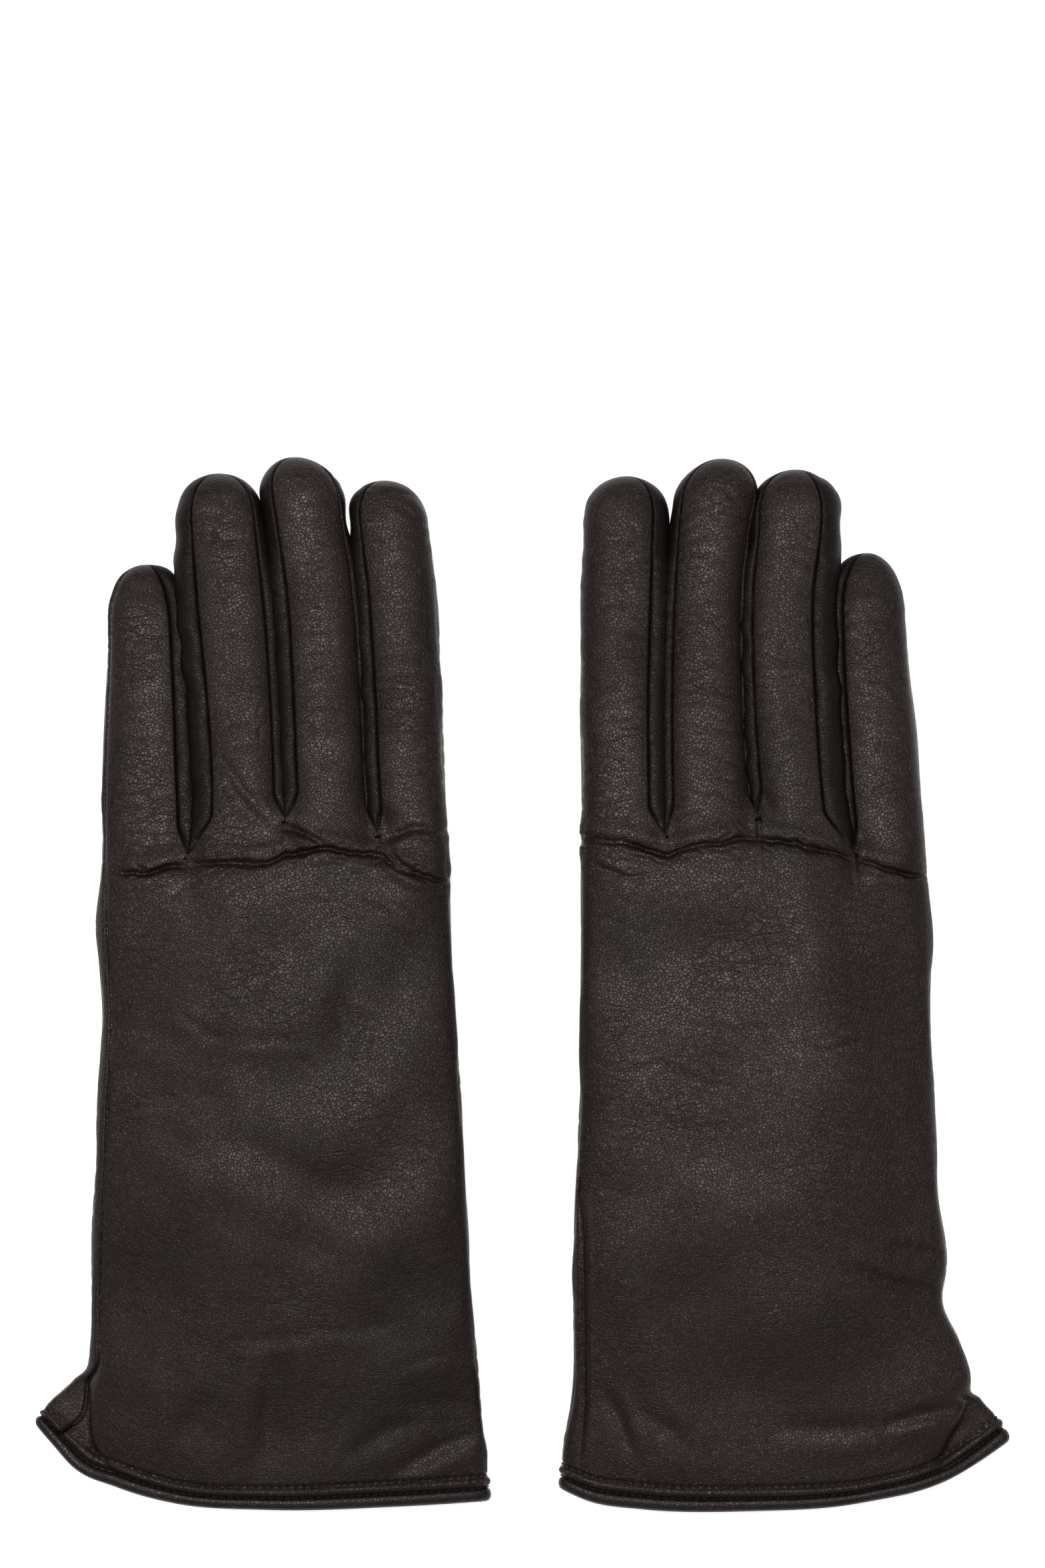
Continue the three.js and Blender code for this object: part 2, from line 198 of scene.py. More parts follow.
# %% Curves and easings
def spline(stations, at):
    """A smooth curve through (place, value) stations in rising order, straight past its ends."""
    places, values = np.array(stations, float).T
    slopes = np.gradient(values, places)
    i = np.clip(np.searchsorted(places, at) - 1, 0, len(places) - 2)
    step = places[i + 1] - places[i]
    share = (at - places[i]) / step
    t = np.clip(share, 0, 1)
    bend = (
        (2 * t**3 - 3 * t**2 + 1) * values[i]
        + (t**3 - 2 * t**2 + t) * step * slopes[i]
        + (3 * t**2 - 2 * t**3) * values[i + 1]
        + (t**3 - t**2) * step * slopes[i + 1]
    )
    before = np.minimum(at - places[0], 0) * slopes[0]
    after = np.maximum(at - places[-1], 0) * slopes[-1]
    return bend + before + after


def ease(start, end, at):
    """0 before start, 1 after end, smooth between."""
    t = np.clip((at - start) / (end - start), 0, 1)
    return t * t * (3 - 2 * t)


def mix(a, b, share):
    """From a to b as share goes from 0 to 1."""
    return a + (b - a) * share


print("a quarter of the way an ease has reached", float(ease(0, 1, 0.25)))

# %% [markdown]
# ## Tubes
# Seen end on, an empty glove is a flattened ring: a superellipse, squarer than an ellipse. One
# function gives such a ring, and two sets of curves say how wide, how thick and how high it
# is: one for the hand and cuff, one for each finger. The hand lies on its folded thumb, the
# fingers slope down to the table, and so does the cuff.

# %% Height and thickness of the tubes
HAND_SQUARENESS = 2.9
FINGER_SQUARENESS = 2.35
RING_STEPS = 1440
RING_ANGLES = np.linspace(-math.pi, math.pi, RING_STEPS + 1)

HAND_HEIGHT = [(-134, 5.4), (-110, 7.8), (-84, 11.6), (-57, 15.2), (-30, 15.9), (40, 15.7)]
HAND_HALF_THICKNESS = [(-134, 4.3), (-118, 5.6), (-90, 6.3), (-40, 6.5), (10, 6.5), (40, 6.1)]
LITTLE_SIDE_SAG = 3.6  # how far the hand's little-finger side sinks beside the thumb
FINGER_HEIGHT_AT_TIP = 6.1
FINGER_HALF_THICKNESS = {"index": 5.9, "middle": 6.1, "ring": 6.1, "little": 5.6}


def unit_ring(squareness, angles):
    """Across and up, for a superellipse of half width 1 and half height 1."""
    power = 2 / squareness
    across = np.sign(np.cos(angles)) * np.abs(np.cos(angles)) ** power
    up = np.sign(np.sin(angles)) * np.abs(np.sin(angles)) ** power
    return across, up


def angle_at(share, squareness):
    """The angle on the upper half at which the ring is `share` of its half width across."""
    return math.acos(math.copysign(abs(share) ** (squareness / 2), share))


def side_sag(x, y):
    """How much lower the leather lies towards the little-finger side."""
    amount = LITTLE_SIDE_SAG * ease(-118, -70, y) * (1 - ease(60, 100, y))
    return amount * ease(-8, -44, x)


def hand_ring(glove, y):
    """The dense ring of the hand or cuff at the nominal place y, as x and z arrays."""
    low, high = spline(glove["little_edge"], y), spline(glove["index_edge"], y)
    middle, half = (low + high) / 2, (high - low) / 2
    across, up = unit_ring(HAND_SQUARENESS, RING_ANGLES)
    x = middle + half * across
    z = spline(HAND_HEIGHT, y) + spline(HAND_HALF_THICKNESS, y) * up - side_sag(x, y)
    spread = low - spline(glove["flap_edge"], y) if y < FLAP_START else 0.0
    return with_flap(glove, x, z, y, spread) if spread > 0 else (x, z)


FLAP_START = -96  # the place y at which the flap begins
FLAP_REACH = 0.75  # radians of the ring, on each side of its little-finger edge
FOLD_SHARE = 0.4
FLAP_HEIGHT = 3.4
FLAP_HALF_THICKNESS = 2.9


def nominal_y(glove, x, y):
    """The nominal place of the row that passes through a point of the cuff."""
    return WRIST_Y + (y - WRIST_Y) * (HEM_Y - WRIST_Y) / (spline(glove["hem"], x) - WRIST_Y)


def fold_x(glove, y):
    """Where the foot of the back's fold lies at the nominal place y."""
    points = np.array(glove["fold"], float)
    places = np.array([nominal_y(glove, px, py) for px, py in points])
    return np.interp(-y, -places, points[:, 0])


def with_flap(glove, x, z, y, spread):
    """Below the fold of its back the cuff's little-finger side fans out as a low flap."""
    near = np.clip(1 - np.abs(np.abs(RING_ANGLES) - math.pi) / FLAP_REACH, 0, 1)
    edge = spline(glove["flap_edge"], y)
    fold = fold_x(glove, y)
    rim = FLAP_HEIGHT, FLAP_HALF_THICKNESS
    upper_start = np.argmin(np.abs(RING_ANGLES - (math.pi - FLAP_REACH)))
    lower_start = np.argmin(np.abs(RING_ANGLES + (math.pi - FLAP_REACH)))
    # The upper side turns down round the fold, then runs out flat to the edge.
    turn = np.clip(near / FOLD_SHARE, 0, 1)
    bent_across, bent_up = unit_ring(HAND_SQUARENESS, math.pi - FLAP_REACH * (1 - turn))
    start_across, start_up = unit_ring(HAND_SQUARENESS, np.array([math.pi - FLAP_REACH]))
    round_x = mix(x[upper_start], fold, (bent_across - start_across) / (-1 - start_across))
    round_z = mix(rim[0] + rim[1], z[upper_start], np.clip(bent_up / start_up, 0, 1))
    out = math.pi / 2 * np.clip((near - FOLD_SHARE) / (1 - FOLD_SHARE), 0, 1)
    flat_x = mix(fold, edge, np.sin(out))
    flat_z = rim[0] + rim[1] * np.cos(out) ** 0.4
    steep_x = np.where(near < FOLD_SHARE, round_x, flat_x)
    steep_z = np.where(near < FOLD_SHARE, round_z, flat_z)
    # At the hem the fold has flattened out into one slope.
    slope = math.pi / 2 * near
    slope_x = mix(x[upper_start], edge, np.sin(slope))
    slope_z = rim[0] + mix(z[upper_start] - rim[0], rim[1], ease(0, 0.8, near)) * np.cos(slope) ** 0.4
    steepness = ease(HEM_Y + 0.5, HEM_Y + 7.5, y)
    upper_x = mix(slope_x, steep_x, steepness)
    upper_z = mix(slope_z, steep_z, steepness)
    # The lower side runs out flat all the way.
    under = math.pi / 2 * near
    lower_x = mix(x[lower_start], edge, np.sin(under))
    lower_z = mix(z[lower_start], rim[0] - rim[1] * np.cos(under) ** 0.4, ease(0, 0.4, near))
    flap_x = np.where(RING_ANGLES > 0, upper_x, lower_x)
    flap_z = np.where(RING_ANGLES > 0, upper_z, lower_z)
    strength = ease(0, 4.0, spread) * (near > 0)
    return mix(x, flap_x, strength), mix(z, flap_z, strength)


def finger_shape(glove, name, y):
    """Middle, half width, height and half thickness of a finger at the places y."""
    finger = glove["fingers"][name]
    stations = np.array(finger["stations"])
    tip_x, tip_y = finger["tip"]
    shoulder = tip_y - finger["tip_length"]
    path = list(map(tuple, stations[:, :2])) + [(tip_y, tip_x)]
    middle = spline(path, y)
    half = spline(list(map(tuple, stations[:, [0, 2]])), np.minimum(y, shoulder))
    thick = FINGER_HALF_THICKNESS[name]
    root_z = spline(HAND_HEIGHT, ROOT_Y) - 0.6 * side_sag(stations[0, 1], ROOT_Y)
    height = mix(root_z, FINGER_HEIGHT_AT_TIP, ease(ROOT_Y - 22, shoulder + 16, y))
    past = np.clip((y - shoulder) / finger["tip_length"], 0, 1)
    close = np.sqrt(np.clip(1 - past**2.15, 0, 1))
    return middle, half * close, height - 0.8 * past**2, thick * close**0.92


print("hand thickness at the knuckles:", 2 * spline(HAND_HALF_THICKNESS, ROOT_Y), "mm")

# %% [markdown]
# ## Walking round a ring in even steps
# A panel's columns should be spaced evenly along the leather, a little closer beside the
# seams, where it rolls over. So each ring is drawn densely and then cut again by its length.

# %% Columns by length along the leather
EDGE_CROWDING = 0.5


def crowded(count):
    """Shares from 0 to 1, closer together at both ends."""
    even = np.linspace(0, 1, count)
    return even - EDGE_CROWDING * np.sin(2 * math.pi * even) / (2 * math.pi)


STRIP_COLUMNS = 50
STRIP_SHARES = crowded(STRIP_COLUMNS)


def hand_anchors(glove, side, y):
    """Angles of the outseam, of the three crotches and of the index fold, for back or palm."""
    low, high = spline(glove["little_edge"], ROOT_Y), spline(glove["index_edge"], ROOT_Y)
    middle, half = (low + high) / 2, (high - low) / 2
    crotches = [angle_at((x - middle) / half, HAND_SQUARENESS) for x, _ in glove["root_line"][1:4]]
    outseam = angle_at(-abs(glove["outseam"]), HAND_SQUARENESS)
    if glove["outseam"] > 0:
        # On the flap the seam runs out from under the fold, towards the edge.
        outseam = mix(outseam, math.pi - 0.2, 1 - ease(-132.5, -114, y))
    if side == "back":
        first = outseam if glove["outseam"] > 0 else 2 * math.pi - outseam
        return [first] + crotches + [0.0]
    first = outseam - 2 * math.pi if glove["outseam"] > 0 else -outseam
    return [first] + [-angle for angle in crotches] + [0.0]


def hand_strip(glove, side, strip, y):
    """One row of the hand or cuff between two of its anchors, as x and z."""
    anchors = hand_anchors(glove, side, y)
    x, z = hand_ring(glove, y)
    start, end = anchors[strip], anchors[strip + 1]
    return ring_between(x, z, start, end)


def ring_between(x, z, start, end, shares=STRIP_SHARES):
    """Points of a dense ring between two angles, at shares of the length between them."""
    dense = np.linspace(start, end, 600)
    turned = np.mod(dense + math.pi, 2 * math.pi) - math.pi
    dx, dz = np.interp(turned, RING_ANGLES, x), np.interp(turned, RING_ANGLES, z)
    length = np.concatenate([[0], np.cumsum(np.hypot(np.diff(dx), np.diff(dz)))])
    return np.interp(shares * length[-1], length, dx), np.interp(shares * length[-1], length, dz)


def finger_ring(glove, name, y):
    """The dense ring of a finger at the place y."""
    middle, half, height, thick = finger_shape(glove, name, y)
    across, up = unit_ring(FINGER_SQUARENESS, RING_ANGLES)
    return middle + half * across, height + thick * up


PALM_SEAM = 0.8


def seam_angles(glove, name, side):
    """The angles at a finger strip's little-side and index-side edges."""
    seams = glove["fingers"][name]["seams"]
    sign = 1 if side == "back" else -1
    reach = {key: value if side == "back" else PALM_SEAM for key, value in seams.items()}
    little = math.pi - angle_at(reach["little"], FINGER_SQUARENESS) if "little" in reach else None
    index = angle_at(reach["index"], FINGER_SQUARENESS) if "index" in reach else 0.0
    if little is None:
        outseam = angle_at(-abs(glove["outseam"]), HAND_SQUARENESS)
        little = outseam if glove["outseam"] > 0 else 2 * math.pi - outseam
        if side == "palm":
            little = 2 * math.pi - little
    return sign * little, sign * index


print("columns across a strip:", STRIP_COLUMNS)

# %% [markdown]
# ## From hand to finger
# A strip of the trank runs from the hem to a fingertip without a seam. Below the crotches it
# is part of the hand's ring, above them part of a finger's ring. The two are mixed over the
# knuckles: early in the middle of a strip, and only past the crotch along its edges, so
# neighbouring strips stay one sheet up to the crotch and part there in a V.

# %% One row of a strip
FINGER_INDEX = {name: i for i, name in enumerate(CROTCH_ORDER)}
HEM_REACH, HEM_ROWS = 8, 20  # fine rows beside the hem, for its welt and stitches
KNUCKLE_REACH, KNUCKLE_ROWS = 22, 52  # and below the crotches, for the fold
BODY_ROWS = 122
TIP_ROWS = 20
ROW_STEP = 0.85
PART_REACH = 9  # beyond the root line, by which neighbouring fingers have parted


def root_y(glove, x):
    """Where the line through the crotches lies, at x."""
    line = np.array(glove["root_line"])
    return np.interp(x, line[:, 0], line[:, 1])


def strip_row(glove, name, side, y):
    """A row of a strip at the nominal place y, where ROOT_Y stands for the root line."""
    strip = FINGER_INDEX[name]
    xh, zh = hand_strip(glove, side, strip, y)
    if y < ROOT_Y - 18:
        return xh, zh
    start, end = seam_angles(glove, name, side)
    x, z = finger_ring(glove, name, y)
    xf, zf = ring_between(x, z, start, end)
    share = STRIP_SHARES
    edge = (2 * share - 1) ** 4
    if name == "index":
        edge = np.where(share > 0.5, 0, edge)
    if name == "little":
        edge = np.where(share < 0.5, 0, edge)
    apart = ease(ROOT_Y - 0.01, ROOT_Y + PART_REACH, y)
    weight = ease(ROOT_Y - 17, ROOT_Y + 8, y) * (1 - edge * (1 - apart))
    return mix(xh, xf, weight), mix(zh, zf, weight)


def sheet_rows():
    """Nominal places of the rows from the hem to the root line, closest at the hem."""
    hem = np.linspace(HEM_Y, HEM_Y + HEM_REACH, HEM_ROWS, endpoint=False)
    body = np.linspace(HEM_Y + HEM_REACH, ROOT_Y - KNUCKLE_REACH, BODY_ROWS, endpoint=False)
    knuckles = np.linspace(ROOT_Y - KNUCKLE_REACH, ROOT_Y, KNUCKLE_ROWS)
    return np.concatenate([hem, body, knuckles])


def finger_rows(glove, name):
    """Nominal places of the rows from the root line to the tip, closing in on the tip."""
    finger = glove["fingers"][name]
    shoulder = finger["tip"][1] - finger["tip_length"]
    body = np.linspace(ROOT_Y, shoulder, round((shoulder - ROOT_Y) / ROW_STEP), endpoint=False)
    turn = np.sin(np.linspace(0, math.pi / 2, TIP_ROWS))
    return np.concatenate([body, shoulder + finger["tip_length"] * turn])


def place_rows(glove, x, y_nominal, tip_y=None):
    """True y of points at x on the nominal row: rows follow the hem, the root line and the tip."""
    if tip_y is not None:
        shift = root_y(glove, x) - ROOT_Y
        return y_nominal + shift * (1 - ease(ROOT_Y, tip_y, y_nominal))
    if y_nominal < WRIST_Y:
        share = (WRIST_Y - y_nominal) / (WRIST_Y - HEM_Y)
        return mix(WRIST_Y, spline(glove["hem"], x), share)
    return mix(WRIST_Y, root_y(glove, x), (y_nominal - WRIST_Y) / (ROOT_Y - WRIST_Y))


def trank_sheet(glove, side):
    """The back or the palm of hand and cuff as a grid of points, rows by columns by xyz."""
    rows = []
    for y in sheet_rows():
        strips = [strip_row(glove, name, side, y) for name in CROTCH_ORDER]
        # Neighbouring strips share a column, so every strip after the first drops its own.
        x = np.concatenate([strips[0][0]] + [s[0][1:] for s in strips[1:]])
        z = np.concatenate([strips[0][1]] + [s[1][1:] for s in strips[1:]])
        rows.append(np.stack([x, place_rows(glove, x, y), z], axis=-1))
    return np.array(rows)


def finger_strip(glove, name, side):
    """The back or the palm strip of a finger as a grid of points."""
    rows = []
    tip_y = glove["fingers"][name]["tip"][1]
    for y in finger_rows(glove, name):
        x, z = strip_row(glove, name, side, y)
        rows.append(np.stack([x, place_rows(glove, x, y, tip_y), z], axis=-1))
    return np.array(rows)


FOURCHETTE_COLUMNS = 22


def fourchette_strip(glove, name, toward):
    """The strip between two fingers, on the `toward` side of this one, from back to palm."""
    back = finger_strip(glove, name, "back")
    palm = finger_strip(glove, name, "palm")
    column = 0 if toward == "little" else -1
    top, bottom = back[:, column], palm[:, column]
    back_angles = seam_angles(glove, name, "back")
    palm_angles = seam_angles(glove, name, "palm")
    pick = 0 if toward == "little" else 1
    start, end = back_angles[pick], palm_angles[pick]
    if toward == "little":
        end += 2 * math.pi
    shares = crowded(FOURCHETTE_COLUMNS)
    rows = []
    tip_y = glove["fingers"][name]["tip"][1]
    for i, y in enumerate(finger_rows(glove, name)):
        x, z = finger_ring(glove, name, y)
        xs, zs = ring_between(x, z, start, end, shares)
        side = np.stack([xs, place_rows(glove, xs, y, tip_y), zs], axis=-1)
        straight = top[i] + (bottom[i] - top[i]) * shares[:, None]
        # The strip's own edges follow the trank's, and its middle swells out to the ring.
        edges = side + (top[i] - side[0]) * (1 - shares[:, None])
        edges = edges + (bottom[i] - side[-1]) * shares[:, None]
        out = ease(ROOT_Y, ROOT_Y + PART_REACH, y)
        rows.append(mix(straight, edges, out))
    return np.array(rows)


print("rows of the trank:", len(sheet_rows()))

# %% [markdown]
# ## Relief: creases, valleys and wrinkles
# Leather that has been worn and laid flat again keeps the bends of the hand: a deep fold under
# the knuckles, short creases across the fingers and long soft valleys over the hand and cuff.
# Each is a depth in millimetres, a function of the place in plan, so a crease runs on from one
# panel to the next. It goes straight down on the flat sides of a glove and along the normal
# round its edges. Deep ones are listed one by one, and a net of small ones follows the zero
# lines of a sum of waves.

# %% Creases listed one by one: points, depth, width, height of the swelling beside it
CREASES = {
    "left": [
        ([(-1.3, 40.1), (3.3, 39.1), (10.8, 35.7)], 1.2, 0.9, 0.5),
        ([(24.6, 36.8), (28, 37.4), (32.9, 39.4), (43, 39.1)], 1.0, 0.9, 0.5),
        ([(25.6, 36), (30.5, 30), (37.5, 26)], 0.8, 0.9, 0.4),
        ([(19.1, 23.5), (27, 20), (35, 15.6)], 0.4, 1.6, 0.15),
        ([(-16.4, 58.5), (-9.6, 48.6), (-2.8, 41)], 0.55, 1.3, 0.2),
        ([(-43, -6.6), (-36.2, -3.7), (-30, -2.9)], 0.2, 1.0, 0.25),
        ([(-34.8, -7.8), (-26.5, -7.3), (-16.1, -14.1), (-7.1, -11)], 0.2, 1.2, 0.1),
        ([(-23.6, -13.4), (-8.6, -14.1), (9.2, -14.1)], 0.3, 1.3, 0.15),
        ([(-45, -33), (-36.2, -29.4), (-27, -29)], 0.5, 1.2, 0.25),
        ([(19.8, 11), (16, -6), (14.5, -25)], 0.55, 4.2, 0.2),
        ([(-31, -43), (-16, -39.5), (-2.7, -43), (9.9, -50.7), (24, -49.8)], 0.8, 4.6, 0.3),
        ([(-14.5, -91), (0, -90.5), (8, -88), (18.4, -88.6), (29, -86.2)], 0.25, 1.4, 0.12),
        ([(28, -98), (36.8, -95.4), (48, -93.4)], 0.25, 1.3, 0.15),
        ([(24, -107.5), (36, -107), (48.5, -106.6)], 0.3, 1.4, 0.2),
        ([(11.5, -92), (8, -107)], 0.35, 2.6, 0.15),
        ([(-0.6, -94), (-4, -108.5), (-4.8, -123)], 0.8, 3.2, 0.5),
        ([(-19, -104), (-26, -118)], 0.55, 3.6, 0.3),
        ([(15, -122), (27.3, -113.2), (37, -109.5)], 0.55, 2.4, 0.4),
        ([(26, -127), (40, -118.8), (51, -114.5)], 0.8, 2.0, 0.55),
    ],
    "right": [
        ([(47, -48), (45.6, -63.8), (45.2, -90), (45.1, -107), (46.8, -127.8)], 1.0, 0.6, 0.2),
        ([(-20.7, -71.6), (-34, -76.5), (-46.7, -79)], 0.85, 1.5, 0.6),
        ([(-31, -66.5), (-46, -69)], 0.6, 1.3, 0.4),
        ([(-53.4, -107.2), (-44, -109.5), (-31, -112.7)], 1.15, 1.6, 0.9),
        ([(-31, -112.7), (-16, -114), (-4, -113)], 0.7, 2.4, 0.5),
        ([(40, -104), (36, -112), (33, -121)], 0.8, 1.8, 0.6),
        ([(44, -19), (36, -22), (26, -20), (16, -24), (6, -27)], 0.3, 0.6, 0.15),
        ([(30, -33), (18, -36), (4, -36)], 0.25, 0.6, 0.12),
        ([(-6, -15), (-16, -17), (-26, -14), (-40, -12)], 0.3, 0.7, 0.15),
        ([(20, -9), (8, -12), (-4, -10)], 0.25, 0.6, 0.12),
        ([(44, 31), (34, 27), (28, 28)], 0.35, 0.7, 0.2),
        ([(34, -108), (24, -114), (16, -121)], 0.5, 2.4, 0.4),
    ],
}


print("creases drawn:", {side: len(lines) for side, lines in CREASES.items()})

# %% The fold under the knuckles
KNUCKLE_FOLDS = {
    "left": [(-46, 27.3), (-34, 28.6), (-25.6, 29.8), (-18.8, 30.8), (-10.5, 30.3), (-2.8, 31.1),
             (4.8, 33.7), (10.8, 34.5), (18.4, 33), (26.1, 31.8), (31.3, 28.7), (40, 26.5)],
    "right": [(-43, 27.5), (-31, 29), (-23, 31.6), (-11, 35), (2, 37.2), (13, 35.6), (24, 33),
              (36, 36), (46.5, 36.4)],
}


def knuckle_fold(side, x, y):
    """The deepest fold: a ragged groove with a swelling above it and small wrinkles around."""
    line = np.array(KNUCKLE_FOLDS[side])
    away = y - np.interp(x, line[:, 0], line[:, 1])
    seed = 71 if side == "left" else 73
    ragged, _ = waves(x, y, seed, 7, 22)
    strength, _ = waves(x, 0 * y, seed + 1, 16, 50)
    depth = 1.25 + 0.3 * strength
    fray, _ = waves(x, y, seed + 3, 3, 7)
    groove = -depth * np.exp(-(((away + 0.3 * ragged + 0.12 * fray) / 0.6) ** 2))
    swelling = 0.55 * np.exp(-(((away - 2.9) / 2.0) ** 2)) + 0.3 * np.exp(-(((away + 2.7) / 1.8) ** 2))
    ripple = 0.5 + 0.5 * np.cos(2 * math.pi * (away + 0.8 * ragged + 0.4 * fray) / 1.9)
    where, _ = waves(x, y, seed + 2, 8, 22)
    small = -0.42 * ripple**2 * np.exp(-((away / 3.4) ** 2)) * ease(-0.5, 0.5, where)
    return (groove + swelling + small) * ease(-46, -36, x) * (1 - ease(38, 48, x) * (side == "left"))


print("points of the fold:", {side: len(line) for side, line in KNUCKLE_FOLDS.items()})

# %% Depth of a crease and of the net of wrinkles
def crease(x, y, points, depth, width, shoulder):
    """A groove along a polyline that fades out at its ends, with a swelling on one side."""
    points = np.array(points, float)
    steps = np.hypot(*np.diff(points, axis=0).T)
    total, before = steps.sum(), np.concatenate([[0], np.cumsum(steps)])
    best, along, side = np.full(x.shape, 1e9), np.zeros(x.shape), np.zeros(x.shape)
    for i, step in enumerate(steps):
        (ax, ay), (bx, by) = points[i], points[i + 1]
        dx, dy = (bx - ax) / step, (by - ay) / step
        t = np.clip((x - ax) * dx + (y - ay) * dy, 0, step)
        px, py = x - ax - t * dx, y - ay - t * dy
        distance = np.hypot(px, py)
        nearer = distance < best
        best = np.where(nearer, distance, best)
        along = np.where(nearer, (before[i] + t) / total, along)
        side = np.where(nearer, dx * py - dy * px, side)
    fade = np.sqrt(np.clip(np.sin(math.pi * np.clip(along, 0.002, 0.998)), 0, 1))
    groove = -depth * np.exp(-((best / width) ** 2))
    swelling = shoulder * np.exp(-(((side + 2.2 * width) / (1.6 * width)) ** 2))
    reach = np.exp(-((best / (5 * width)) ** 4))
    return (groove + swelling * reach) * fade


def waves(x, y, seed, shortest, longest, lean=math.pi, count=9):
    """A sum of plane waves with random phases, and its steepness; lean limits their turn from y."""
    draw = np.random.default_rng(seed)
    total, gx, gy = np.zeros(x.shape), np.zeros(x.shape), np.zeros(x.shape)
    for _ in range(count):
        length = shortest * (longest / shortest) ** draw.random()
        turn = math.pi / 2 + lean * (2 * draw.random() - 1)
        kx, ky = 2 * math.pi / length * math.cos(turn), 2 * math.pi / length * math.sin(turn)
        phase = kx * x + ky * y + 2 * math.pi * draw.random()
        total += np.sin(phase)
        gx += kx * np.cos(phase)
        gy += ky * np.cos(phase)
    scale = math.sqrt(2 / count)
    return total * scale, np.hypot(gx, gy) * scale


def wrinkle_net(x, y, seed, shortest, longest, lean, width):
    """1 in the middle of thin lines that wander over the surface, 0 between them."""
    level, steepness = waves(x, y, seed, shortest, longest, lean)
    distance = np.abs(level) / np.maximum(steepness, 0.05)
    mask, _ = waves(x, y, seed + 50, 4 * shortest, 4 * longest)
    return np.exp(-((distance / width) ** 2)) * ease(-0.2, 0.9, mask)


def valleys(glove, x, y):
    """The dip that runs on from each gap between two fingers a little way into the hand."""
    dip = np.zeros(x.shape)
    for cx, cy in glove["root_line"][1:4]:
        across = np.exp(-(((x - cx) / 3.4) ** 2))
        dip -= 1.5 * across * np.exp(-((np.minimum(y - cy, 0) / 7) ** 2)) * (1 - ease(cy + 4, cy + 9, y))
    return dip


def back_relief(side, x, y):
    """Height in mm of everything that is pressed into the backs of a glove."""
    glove = OUTLINES[side]
    seed = 11 if side == "left" else 23
    on_fingers = ease(36, 50, y)
    height = valleys(glove, x, y) + knuckle_fold(side, x, y)
    for points, depth, width, shoulder in CREASES[side]:
        height = height + crease(x, y, points, depth, width, shoulder)
    broad, _ = waves(x, y, seed, 26, 60)
    medium, _ = waves(x, y, seed + 1, 11, 24)
    height += 0.34 * broad * (1 - 0.5 * on_fingers) + 0.07 * medium
    across_finger = wrinkle_net(x, y, seed + 2, 5, 11, 0.45, 0.6)
    over_hand = wrinkle_net(x, y, seed + 3, 8, 20, 0.9, 0.7)
    height -= 0.22 * across_finger * on_fingers + 0.08 * over_hand * (1 - on_fingers)
    puckers, _ = waves(x, y, seed + 4, 4, 9, 0.4)
    height += 0.06 * puckers * on_fingers
    return height


def palm_relief(side, x, y):
    """Height in mm of the wrinkles of the palm side, which has only slack ones."""
    seed = 37 if side == "left" else 41
    broad, _ = waves(x, y, seed, 18, 40)
    net = wrinkle_net(x, y, seed + 1, 7, 16, 0.7, 0.8)
    return 0.16 * broad - 0.18 * net


centre_relief = back_relief("left", np.zeros(1), np.zeros(1))[0]
print("relief in the middle of the left hand:", round(float(centre_relief), 2), "mm")

# %% [markdown]
# ## The hem
# The cuff ends in a folded binding. The leather above it is turned in and stitched down, so
# below the upper row of stitches a round welt runs along the hem, then comes the groove of the
# lower row, and then the binding.

# %% Relief of the hem
UPPER_ROW = 6.4
LOWER_ROW = 3.1
STITCH_PITCH = 2.05


def hem_relief(above, along):
    """Height in mm at a distance above the edge of the hem and a distance along it."""
    pull = np.cos(2 * math.pi * along / STITCH_PITCH)
    upper = -0.5 * np.exp(-(((above - UPPER_ROW) / 0.5) ** 2)) * (1 - 0.35 * pull)
    welt = 0.6 * np.exp(-(((above - (UPPER_ROW + LOWER_ROW) / 2) / 1.0) ** 2)) * (1 + 0.22 * pull)
    lower = -0.6 * np.exp(-(((above - LOWER_ROW) / 0.5) ** 2))
    under_binding = -0.6 * (1 - ease(LOWER_ROW - 1.0, LOWER_ROW, above))
    return upper + welt + lower + under_binding


print("rows of stitches above the edge:", UPPER_ROW, "and", LOWER_ROW, "mm")

# %% [markdown]
# ## Inseams
# The panels are sewn face to face and turned, so at a seam both roll over and dive into a
# groove. Rolling the trank's edge in by a quarter circle gives that plump shoulder, and the
# fourchette's edge is then moved onto it, so the two meet at the bottom of the groove.

# %% Normals and rolled edges
SEAM_RADIUS = 0.75
OUTSEAM_RADIUS = 1.1
LEATHER = 0.8


def grid_normals(points):
    """Unit normals of a grid of points, columns' direction crossed with the rows'."""
    normal = np.cross(np.gradient(points, axis=1), np.gradient(points, axis=0))
    size = np.linalg.norm(normal, axis=-1, keepdims=True)
    normal = normal / np.maximum(size, 1e-9)
    flat = size[..., 0] < 1e-7
    for row in np.argwhere(flat.any(axis=1))[:, 0]:
        good = normal[max(row - 1, 0)].mean(axis=0)
        normal[row][flat[row]] = good / max(np.linalg.norm(good), 1e-9)
    return normal


def roll_in(points, normals, radius, full):
    """Rolls the first column's side of a grid inwards; full says how far, row by row."""
    steps = np.linalg.norm(np.diff(points, axis=1), axis=-1)
    distance = np.concatenate([np.zeros((len(points), 1)), np.cumsum(steps, axis=1)], axis=1)
    reach = np.minimum(radius, 0.45 * distance[:, -1])[:, None]
    inside = np.clip(reach - distance, 0, None)
    depth = reach - np.sqrt(np.clip(reach**2 - inside**2, 0, None))
    stitch = 1 + 0.12 * np.cos(2 * math.pi * np.arange(len(points)) * ROW_STEP / STITCH_PITCH)
    return points - normals * (depth * (full * stitch)[:, None])[..., None]


print("shoulders of the seams:", SEAM_RADIUS, "and", OUTSEAM_RADIUS, "mm")

